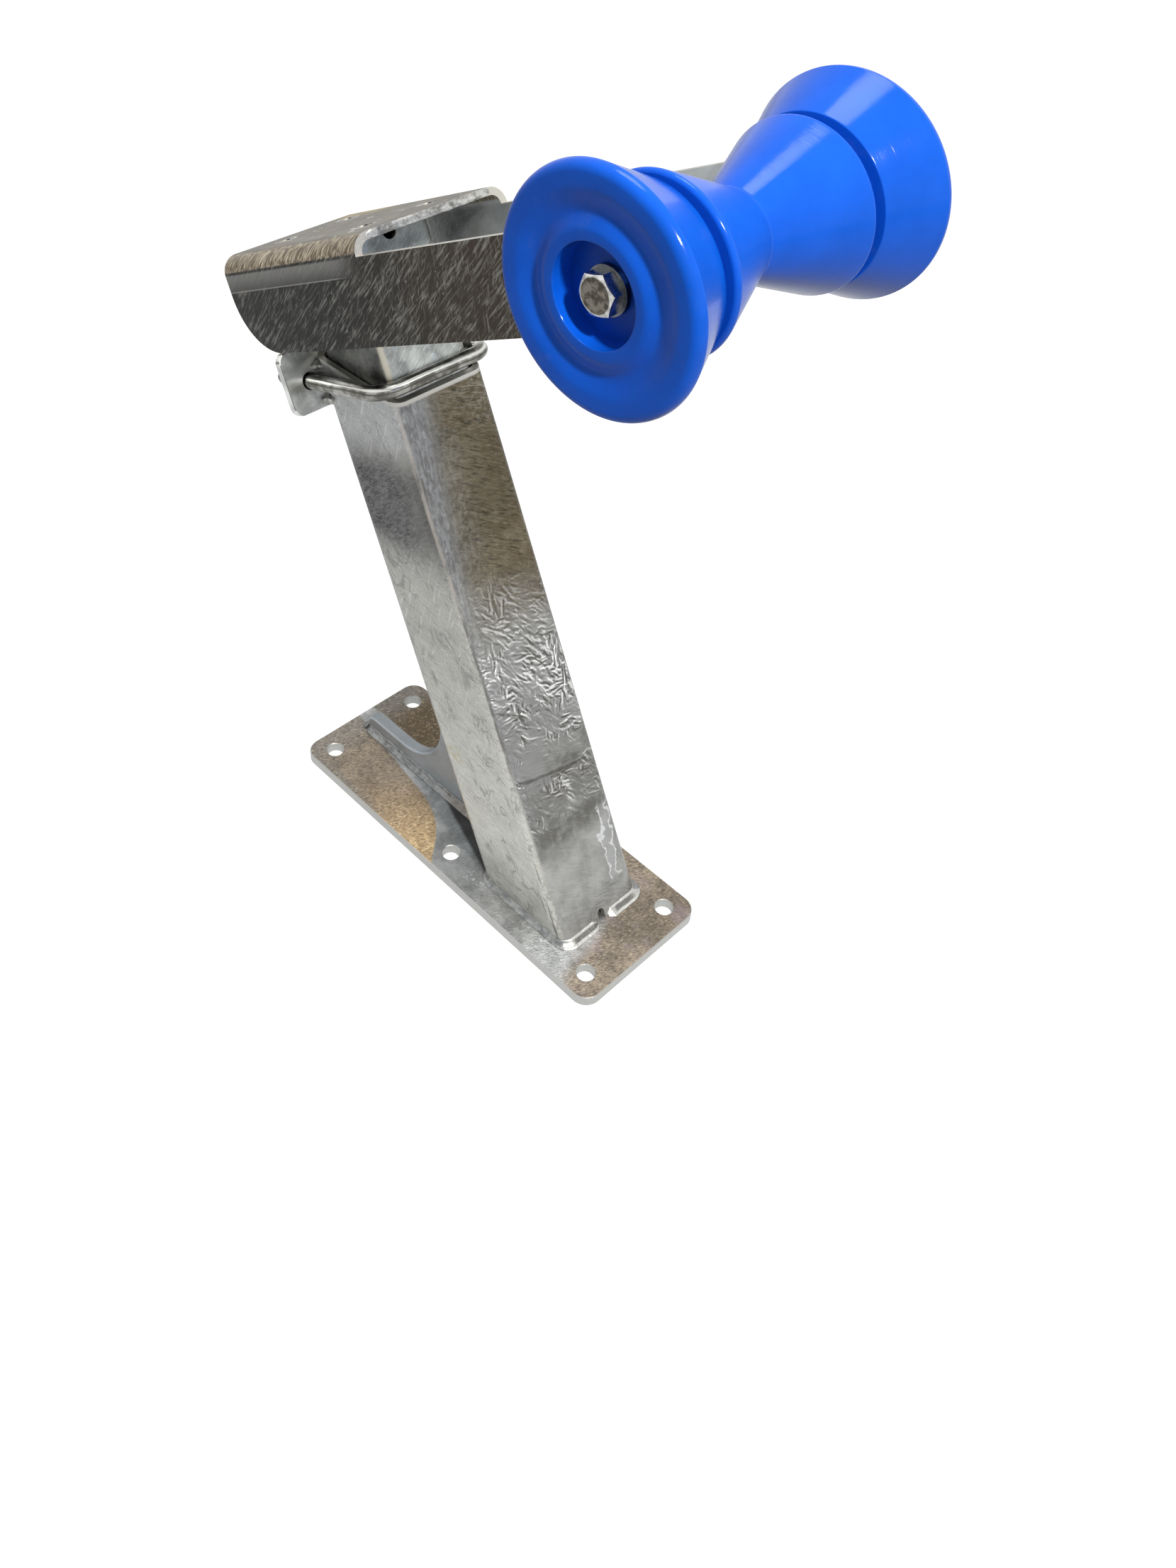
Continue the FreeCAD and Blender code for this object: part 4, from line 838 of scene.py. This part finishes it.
def loft(rings, closed=False):
    """Points and faces of a skin over rings of equal size, capped at both ends unless closed."""
    count = len(rings[0])
    points = [point for ring in rings for point in ring]
    spans = len(rings) if closed else len(rings) - 1
    faces = []
    for span in range(spans):
        a = span * count
        b = (span + 1) % len(rings) * count
        for i in range(count):
            j = (i + 1) % count
            faces.append((a + i, a + j, b + j, b + i))
    if not closed:
        faces.append(tuple(reversed(range(count))))
        faces.append(tuple(range((len(rings) - 1) * count, len(rings) * count)))
    return points, faces


BEAD_STEP = 0.0006
BEAD_RIPPLE = 0.0021
BEAD_SIDES = 13


def bead_rings(stations, bulge, ripple, lump, ridge, seed):
    """Rings of a weld bead. A station is its root, the vectors to its two toes, and how rough it is."""
    travelled = 0.0
    rings = []
    last = stations[0][0]
    for number, (root, toe_a, toe_b, roughly) in enumerate(stations):
        travelled += (root - last).length
        last = root
        from_end = min(number, len(stations) - 1 - number) / 6
        swell = min(1.0, 0.35 + 0.65 * from_end)
        ring = [root - (toe_a + toe_b) * 0.2]
        for side in range(BEAD_SIDES):
            t = side / (BEAD_SIDES - 1)
            crown = math.sin(math.pi * t)
            wave = math.sin(2 * math.pi * travelled / BEAD_RIPPLE + 2.2 * crown)
            rough = noise.noise(Vector((travelled * 170 + seed, t * 2.0, seed)))
            fine = noise.noise(Vector((travelled * 700 + seed, t * 5.0, seed)))
            toes = math.exp(-((t - 0.14) / 0.07) ** 2) + math.exp(-((t - 0.86) / 0.07) ** 2)
            reach = 1 + crown * (bulge * roughly - 0.15 * (1 - roughly))
            reach += crown * roughly * (ripple * wave + lump * rough + 0.4 * lump * fine)
            reach += ridge * toes * (0.4 + 0.6 * roughly + 0.6 * fine * roughly)
            spread = 1 + 0.6 * lump * rough * roughly
            ring.append(root + (toe_a * (1 - t) + toe_b * t) * (reach * swell * spread))
        rings.append(ring)
    return rings


def weld_piece(name, runs, body, node, material, shape):
    """One or more beads in one piece, in place of a plain weld node. The shape is its bulge,
    ripple, lumpiness and the ridges along its toes."""
    points = []
    faces = []
    for number, (stations, closed) in enumerate(runs):
        skin, sides = loft(bead_rings(stations, *shape, 3.7 * number + len(name)), closed)
        offset = len(points)
        points += skin
        faces += [tuple(i + offset for i in face) for face in sides]
    piece = new_piece(name, points, faces, material, body)
    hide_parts(node)
    return piece


def straight(start, end, toe_a, toe_b):
    """Stations of a straight bead."""
    steps = max(2, int((end - start).length / BEAD_STEP))
    return [(start.lerp(end, i / steps), toe_a, toe_b, 1.0) for i in range(steps + 1)]


FOOT_LEG = 5.2
FOOT_CORNER = 9.0
DRAIN_HALF = 5.0


def foot_path():
    """Places and outward directions round the post's foot, from the drain on its front and back to it."""
    half_y = POST_HALF / MM
    half_x = half_y / POST_UP.z
    straight_y = half_y - FOOT_CORNER
    straight_x = half_x - FOOT_CORNER
    corners = [(1, 1, 0), (-1, 1, 90), (-1, -1, 180), (1, -1, 270)]
    outline = [(half_x, DRAIN_HALF, 0.0)]
    for sx, sy, start in corners:
        for step in range(0, 91, 6):
            angle = math.radians(start + step)
            x = sx * straight_x + FOOT_CORNER * math.cos(angle)
            y = sy * straight_y + FOOT_CORNER * math.sin(angle)
            outline.append((x, y, angle))
    outline.append((half_x, -DRAIN_HALF, 2 * math.pi))
    path = []
    for (x0, y0, a0), (x1, y1, a1) in zip(outline, outline[1:]):
        steps = max(1, int(math.hypot(x1 - x0, y1 - y0) * MM / BEAD_STEP))
        for i in range(steps):
            t = i / steps
            place = POST_FOOT + Vector(((x0 + (x1 - x0) * t) * MM, (y0 + (y1 - y0) * t) * MM, 0))
            angle = a0 + (a1 - a0) * t
            path.append((place, Vector((math.cos(angle), math.sin(angle), 0))))
    return path


def foot_weld(material):
    """Bead round the post's foot, in two stretches that stop at the gusset."""
    stretches = [[], []]
    clear = GUSSET_HALF + 1.0 * MM
    for place, out in foot_path():
        if place.x < POST_FOOT.x and abs(place.y) < clear:
            continue
        stretch = stretches[0] if place.y > 0 else stretches[1]
        roughly = min(1.0, max(0.1, 1.5 * out.x))
        leg = FOOT_LEG * (0.70 + 0.20 * roughly) * MM
        stretch.append((place, out * leg, POST_UP * leg, roughly))
    runs = [(stretch, False) for stretch in stretches]
    shape = (-0.10, 0.02, 0.12, 0.20)
    return weld_piece("foot_weld_bead", runs, "base", "foot_weld", material, shape)


GUSSET_LEG = 5.0
GUSSET_NOSE = 3.0


def gusset_weld(material):
    """Beads on both sides of the gusset's foot, round its nose, and up the post's back."""
    leg = GUSSET_LEG * MM
    back_x = POST_FOOT.x - POST_HALF / POST_UP.z
    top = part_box("gusset_weld")[1].z
    runs = []
    for side in (-1, 1):
        out = LEFT * (side * leg)
        toe = Vector((back_x, side * GUSSET_HALF, PLATE_TOP))
        tail = Vector((GUSSET_BACK, side * GUSSET_HALF, PLATE_TOP))
        runs.append((straight(toe, tail, out, UP * leg), False))
        low = on_post(-POST_HALF / MM, side * GUSSET_HALF / MM, 12 / POST_UP.z)
        low += POST_UP * ((POST_HALF * -POST_UP.x) / POST_UP.z)
        high = low + POST_UP * ((top - low.z) / POST_UP.z)
        runs.append((straight(low, high, out, POST_OUT * -leg), False))
    across = GUSSET_HALF + GUSSET_NOSE * MM
    start = Vector((GUSSET_BACK, -across, PLATE_TOP))
    runs.append((straight(start, start + LEFT * (2 * across), Vector((-leg, 0, 0)), UP * leg), False))
    shape = (-0.16, 0.01, 0.10, 0.10)
    return weld_piece("gusset_weld_bead", runs, "base", "gusset_weld", material, shape)


CLAMP_BEAD = 9.0


def clamp_plate_weld(material):
    """Short lumpy beads between the clamp plate and the post's back corners."""
    low = min(up_post(v.co) for v in frame["nodes"]["clamp_plate_weld"].data.vertices)
    high = max(up_post(v.co) for v in frame["nodes"]["clamp_plate_weld"].data.vertices)
    half = POST_HALF / MM
    runs = []
    for side in (-1, 1):
        for start in (low, high - CLAMP_BEAD):
            root = on_post(-half, side * (half - 5), start)
            toe_a = LEFT * (side * 8 * MM)
            toe_b = POST_OUT * (8.5 * MM) + LEFT * (side * 5.3 * MM)
            runs.append((straight(root, root + POST_UP * (CLAMP_BEAD * MM), toe_a, toe_b), False))
    shape = (0.12, 0.04, 0.20, 0.0)
    return weld_piece("clamp_plate_weld_bead", runs, "base", "clamp_plate_weld", material, shape)


HEAD_LEG = 4.0
WEB_THICK = 5.0


def head_weld(material):
    """Beads under the head's web, along the inner post's sides and back."""
    level = HEAD_TOP - WEB_THICK
    half = INNER_HALF / MM
    run = half - 6.5
    down = POST_UP * (-HEAD_LEG * MM)
    runs = []
    for side in (-1, 1):
        start = on_post(-run, side * half, level)
        end = on_post(run, side * half, level)
        runs.append((straight(start, end, LEFT * (side * HEAD_LEG * MM), down), False))
    start = on_post(-half, -run, level)
    end = on_post(-half, run, level)
    runs.append((straight(start, end, POST_OUT * (-HEAD_LEG * MM), down), False))
    shape = (0.10, 0.06, 0.10, 0.0)
    return weld_piece("head_weld_bead", runs, "head", "head_weld", material, shape)


THREAD_DEPTH = 0.28
THREAD_TURN_STEPS = 28
THREAD_ROOT = 0.15


def thread(name, start, direction, length, radius, pitch, material, body):
    """A screw thread as a ridge wound round a rod's end."""
    side = direction.cross(UP).normalized()
    other = direction.cross(side)
    turns = length / pitch
    steps = int(turns * THREAD_TURN_STEPS)
    rings = []
    for step in range(steps + 1):
        t = step / steps
        angle = 2 * math.pi * turns * t
        out = side * math.cos(angle) + other * math.sin(angle)
        centre = start + direction * (length * t)
        fade = min(1.0, 12 * t, 12 * (1 - t))
        foot = out * (radius - THREAD_ROOT * MM)
        crest = out * (radius + THREAD_DEPTH * MM * fade)
        half = direction * (pitch * 0.36)
        rings.append([centre + foot - half, centre + crest, centre + foot + half])
    points, faces = loft(rings)
    piece = new_piece(name, points, faces, material, body)
    piece.data.polygons.foreach_set("use_smooth", [False] * len(piece.data.polygons))
    return piece


AXLE_BOLT_RADIUS = 6.0
AXLE_BOLT_PITCH = 1.75
AXLE_THREAD_CLEAR = 0.6
AXLE_THREAD_CHAMFER = 1.8


def axle_bolt_thread(material):
    """Thread on the axle bolt's end, from just past the nut to the chamfer."""
    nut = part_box("axle_nut")[1].y
    start = Vector((AXLE.x, nut + AXLE_THREAD_CLEAR * MM, AXLE.z))
    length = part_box("axle_bolt")[1].y - nut - (AXLE_THREAD_CLEAR + AXLE_THREAD_CHAMFER) * MM
    radius = AXLE_BOLT_RADIUS * MM
    thread("axle_bolt_thread", start, LEFT, length, radius, AXLE_BOLT_PITCH * MM, material, "head")


UBOLT_TILT = math.radians(8)
UBOLT_RADIUS = 5.0
UBOLT_PITCH = 1.5
UBOLT_THREAD = 26.0
UBOLT_CHAMFER = 1.4


def u_bolt_threads(material):
    """Threads on the two ends of the U-bolt's legs."""
    outwards = POST_UP * math.sin(UBOLT_TILT) - POST_OUT * math.cos(UBOLT_TILT)
    for name, side in (("left", 1), ("right", -1)):
        points = [Vector(v.co) for v in frame["nodes"]["u_bolt"].data.vertices if v.co.y * side > 0]
        furthest = max(point.dot(outwards) for point in points)
        rim = [point for point in points if point.dot(outwards) > furthest - 0.1 * MM]
        tip = sum(rim, Vector()) / len(rim)
        start = tip - outwards * (UBOLT_THREAD * MM)
        length = (UBOLT_THREAD - UBOLT_CHAMFER) * MM
        sizes = (length, UBOLT_RADIUS * MM, UBOLT_PITCH * MM)
        thread(f"u_bolt_{name}_thread", start, outwards, *sizes, material, "base")


WEB_FRONT = 78.0
WEB_FOLD = 11.0
WEB_ZINC_ROOT = 0.4
WEB_ZINC_PROUD = 1.0


def web_edge(material):
    """Rough zinc along the sawn front edge of the head's web."""
    half = HEAD_HALF / MM - WEB_FOLD
    start = on_post(WEB_FRONT - WEB_ZINC_ROOT, -half, HEAD_TOP - WEB_THICK / 2)
    end = on_post(WEB_FRONT - WEB_ZINC_ROOT, half, HEAD_TOP - WEB_THICK / 2)
    out = POST_OUT * (WEB_ZINC_PROUD * MM)
    up = POST_UP * (WEB_THICK / 2 * MM)
    stations = straight(start, end, out + up, out - up)
    points, faces = loft(bead_rings(stations, 0.10, 0.02, 0.22, 0.0, 9.1))
    return new_piece("web_edge_zinc", points, faces, material, "head")


TURN_STEPS = 144
TURN_CREASE = math.radians(17)
ROLLER_BORE = 6.08
WAIST = 23.3
WAIST_CURVE = 2.2
LIP = 46.3
LIP_ROUND = 2.5
BELL_BACK = 44.8
BELL_BACK_ROUND = 0.9
BELL_RIM_ROUND = 5.2
BELL_FACE_IN = 49.5
BELL_VALLEY = 37.5
BELL_DISH = 3.2
BELL_BOSS = 29.0
BELL_POCKET = 24.6
BELL_POCKET_DEPTH = 12.0
BELL_POCKET_ROUND = 0.8


def bend(radius_at, along_at, size, start, end, steps=10):
    """Part of a circle in a turned piece's profile, as pairs of a radius and a place along the axle."""
    angles = [math.radians(start + (end - start) * i / steps) for i in range(steps + 1)]
    return [(radius_at + size * math.cos(a), along_at + size * math.sin(a)) for a in angles]


def sweep(start, end, steps=14):
    """A gentle S in a profile, level at both its ends."""
    shares = [i / steps for i in range(1, steps + 1)]
    width = end[0] - start[0]
    height = end[1] - start[1]
    return [(start[0] + width * t, start[1] + height * t * t * (3 - 2 * t)) for t in shares]


def turned(name, profile, node, material, body):
    """A piece turned about the axle from a closed profile, in place of a plain roller."""
    rings = []
    for step in range(TURN_STEPS):
        angle = 2 * math.pi * step / TURN_STEPS
        out = Vector((math.cos(angle), 0, math.sin(angle)))
        rings.append([AXLE + out * (radius * MM) + LEFT * (along * MM) for radius, along in profile])
    points, faces = loft(rings, closed=True)
    piece = new_piece(name, points, faces, material, body)
    piece.data.set_sharp_from_angle(angle=TURN_CREASE)
    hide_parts(node)
    return piece


def bow_roller(material):
    """Two straight flares that meet in a tight waist, with rounded lips."""
    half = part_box("centre_roller")[1].y / MM
    flare = math.atan((LIP - WAIST) / half)
    tilt = math.degrees(flare)
    lip_along = half - LIP_ROUND
    lip_at = WAIST + lip_along * math.tan(flare) - LIP_ROUND / math.cos(flare)
    low_lip = bend(lip_at, -lip_along, LIP_ROUND, -90, tilt)
    waist_at = WAIST + WAIST_CURVE / math.cos(flare)
    waist = bend(waist_at, 0, WAIST_CURVE, 180 + tilt, 180 - tilt, 6)
    high_lip = bend(lip_at, lip_along, LIP_ROUND, -tilt, 90)
    profile = [(ROLLER_BORE, -half)] + low_lip + waist + high_lip + [(ROLLER_BORE, half)]
    turned("bow_roller_turned", profile, "centre_roller", material, "bow_roller")


def bell_profile():
    """Flared barrel that creases into a rounded rim, a soft ring-shaped dish, a boss and a pocket."""
    low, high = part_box("left_bell_roller")
    back = low.y / MM
    front = high.y / MM
    rim_at = (high.z - AXLE.z) / MM - BELL_RIM_ROUND
    rise = rim_at + BELL_RIM_ROUND - BELL_BACK
    slant = math.degrees(math.atan(rise / (front - back - BELL_RIM_ROUND)))
    profile = [(ROLLER_BORE, back)]
    profile += bend(BELL_BACK - BELL_BACK_ROUND, back + BELL_BACK_ROUND, BELL_BACK_ROUND, -90, -slant, 6)
    profile += bend(rim_at, front - BELL_RIM_ROUND, BELL_RIM_ROUND, -6, 90)
    face = (BELL_FACE_IN, front - 0.25)
    valley = (BELL_VALLEY, front - BELL_DISH)
    boss = (BELL_BOSS, front - 0.1)
    profile += [face] + sweep(face, valley) + sweep(valley, boss)
    edge = BELL_POCKET_ROUND
    profile += bend(BELL_POCKET + edge, boss[1] - edge, edge, 90, 180, 5)
    floor = front - BELL_POCKET_DEPTH
    profile += [(BELL_POCKET, floor), (ROLLER_BORE, floor)]
    return profile


def bell_rollers(material):
    """The two bell rollers, which are mirror images."""
    profile = bell_profile()
    other = [(radius, -along) for radius, along in reversed(profile)]
    turned("left_bell_turned", profile, "left_bell_roller", material, "left_bell")
    turned("right_bell_turned", other, "right_bell_roller", material, "right_bell")


def dress(nodes, material):
    """Gives a material to pieces of the frame."""
    for node in nodes:
        slots = frame["nodes"][node].data.materials
        if slots:
            slots[0] = material
        else:
            slots.append(material)


def dress_object():
    """Finishes every piece and adds the turned rollers, the beads and the threads."""
    zinc = bright_zinc_finish("fastener_zinc", *FASTENER_ZINC, 0.14)
    clamp = bright_zinc_finish("clamp_plate_zinc", *CLAMP_ZINC, 0.24)
    dress(["outer_post"], outer_post_finish())
    dress(["base_plate"], base_plate_finish())
    dress(["gusset"], gusset_finish())
    dress(["head_channel"], head_finish())
    dress(["inner_post"], inner_post_finish())
    dress(["clamp_plate"], clamp)
    dress(["u_bolt", "u_bolt_washers", "u_bolt_nuts", "axle_nut"], zinc)
    # The washers sit in the pockets and are painted dark, as shade
    shaded = bright_zinc_finish("axle_washer_shaded_zinc", *WASHER_SHADED_ZINC, 0.20)
    dress(["left_axle_washer", "right_axle_washer"], shaded)
    dress(["axle_bolt"], axle_bolt_finish())
    dress(["axle_nut_ring"], nylon_finish())
    blue = blue_finish()
    dress(["centre_roller", "left_bell_roller", "right_bell_roller"], blue)
    bow_roller(blue)
    bell_rollers(blue)
    weld = weld_finish()
    dress(["foot_weld", "gusset_weld", "clamp_plate_weld", "head_weld"], weld)
    foot_weld(weld)
    gusset_weld(weld)
    clamp_plate_weld(weld)
    head_weld(weld)
    web_edge(weld)
    u_bolt_threads(zinc)
    axle_bolt_thread(zinc)


# Studio: the floor's own tone, how bright the camera and the metal see it, and the lamps
FLOOR_SIZE = 12.0
FLOOR_TONE = (0.32, 0.32, 0.32)
FLOOR_SEEN = (0.90, 0.90, 0.90)
FLOOR_MIRRORED = (0.56, 0.56, 0.56)
WORLD_LIGHT = 0.27
KEY_LAMP = ((1.35, -0.42, 2.0), 0.17, 36, (1.0, 0.98, 0.95))
TOP_LAMP = ((-0.4, 0.2, 2.4), 0.9, 16, (0.94, 0.97, 1.0))


def make_floor():
    """Pale floor that the camera sees as white, but for the object's shadow."""
    mesh = bpy.data.meshes.new("floor")
    half = FLOOR_SIZE / 2
    corners = [(-half, -half, 0), (half, -half, 0), (half, half, 0), (-half, half, 0)]
    mesh.from_pydata(corners, [], [(0, 1, 2, 3)])
    floor = bpy.data.objects.new("floor", mesh)
    bpy.context.scene.collection.objects.link(floor)
    f = Finish("floor_paint")
    seen = f.node("LightPath", {}, {}, "Is Camera Ray")
    mirrored = f.node("LightPath", {}, {}, "Is Glossy Ray")
    glow = f.mix(mirrored, (0.0, 0.0, 0.0), FLOOR_MIRRORED)
    glow = f.mix(seen, glow, FLOOR_SEEN)
    f.set(Base_Color=colour(FLOOR_TONE), Roughness=0.9, Emission_Color=glow)
    f.set(Specular_IOR_Level=0.0, Emission_Strength=1.0)
    mesh.materials.append(f.material)


def make_world():
    """White where it is seen or mirrored, and a weaker light on the object."""
    world = bpy.data.worlds.new("studio")
    bpy.context.scene.world = world
    world.use_nodes = True
    tree = world.node_tree
    background = tree.nodes["Background"]
    background.inputs["Color"].default_value = (1, 1, 1, 1)
    path = tree.nodes.new("ShaderNodeLightPath")
    seen = path.outputs["Is Camera Ray"]
    for name in ("Is Glossy Ray", "Is Transmission Ray"):
        either = tree.nodes.new("ShaderNodeMath")
        either.operation = "MAXIMUM"
        tree.links.new(seen, either.inputs[0])
        tree.links.new(path.outputs[name], either.inputs[1])
        seen = either.outputs[0]
    strength = tree.nodes.new("ShaderNodeMapRange")
    strength.inputs["To Min"].default_value = WORLD_LIGHT
    strength.inputs["To Max"].default_value = 1.0
    tree.links.new(seen, strength.inputs["Value"])
    tree.links.new(strength.outputs["Result"], background.inputs["Strength"])


def make_lamp(name, target, place, size, power, tint):
    """A round lamp that points at its target."""
    data = bpy.data.lights.new(name, "AREA")
    data.shape = "DISK"
    data.size = size
    data.energy = power
    data.color = tint
    lamp = bpy.data.objects.new(name, data)
    lamp.location = place
    lamp.rotation_euler = (Vector(target) - Vector(place)).to_track_quat("-Z", "Y").to_euler()
    bpy.context.scene.collection.objects.link(lamp)


def make_camera():
    """The camera, where the photograph was taken from."""
    data = bpy.data.cameras.new("camera")
    data.lens = CAMERA_LENS
    data.shift_x, data.shift_y = CAMERA_SHIFT
    data.clip_start = 0.01
    camera = bpy.data.objects.new("camera", data)
    camera.location = CAMERA_AT
    aim = CAMERA_LOOK.to_track_quat("-Z", "Y").to_matrix()
    camera.rotation_euler = (aim @ Matrix.Rotation(CAMERA_ROLL, 3, "Z")).to_euler()
    bpy.context.scene.collection.objects.link(camera)
    bpy.context.scene.camera = camera


def make_studio():
    """Floor, world and lamps, in plain colours."""
    bpy.context.scene.view_settings.view_transform = "Standard"
    make_floor()
    make_world()
    centre = (CAD_LOW + CAD_HIGH) / 2
    make_lamp("key", centre, *KEY_LAMP)
    make_lamp("top", centre, *TOP_LAMP)


make_camera()
dress_object()
make_studio()
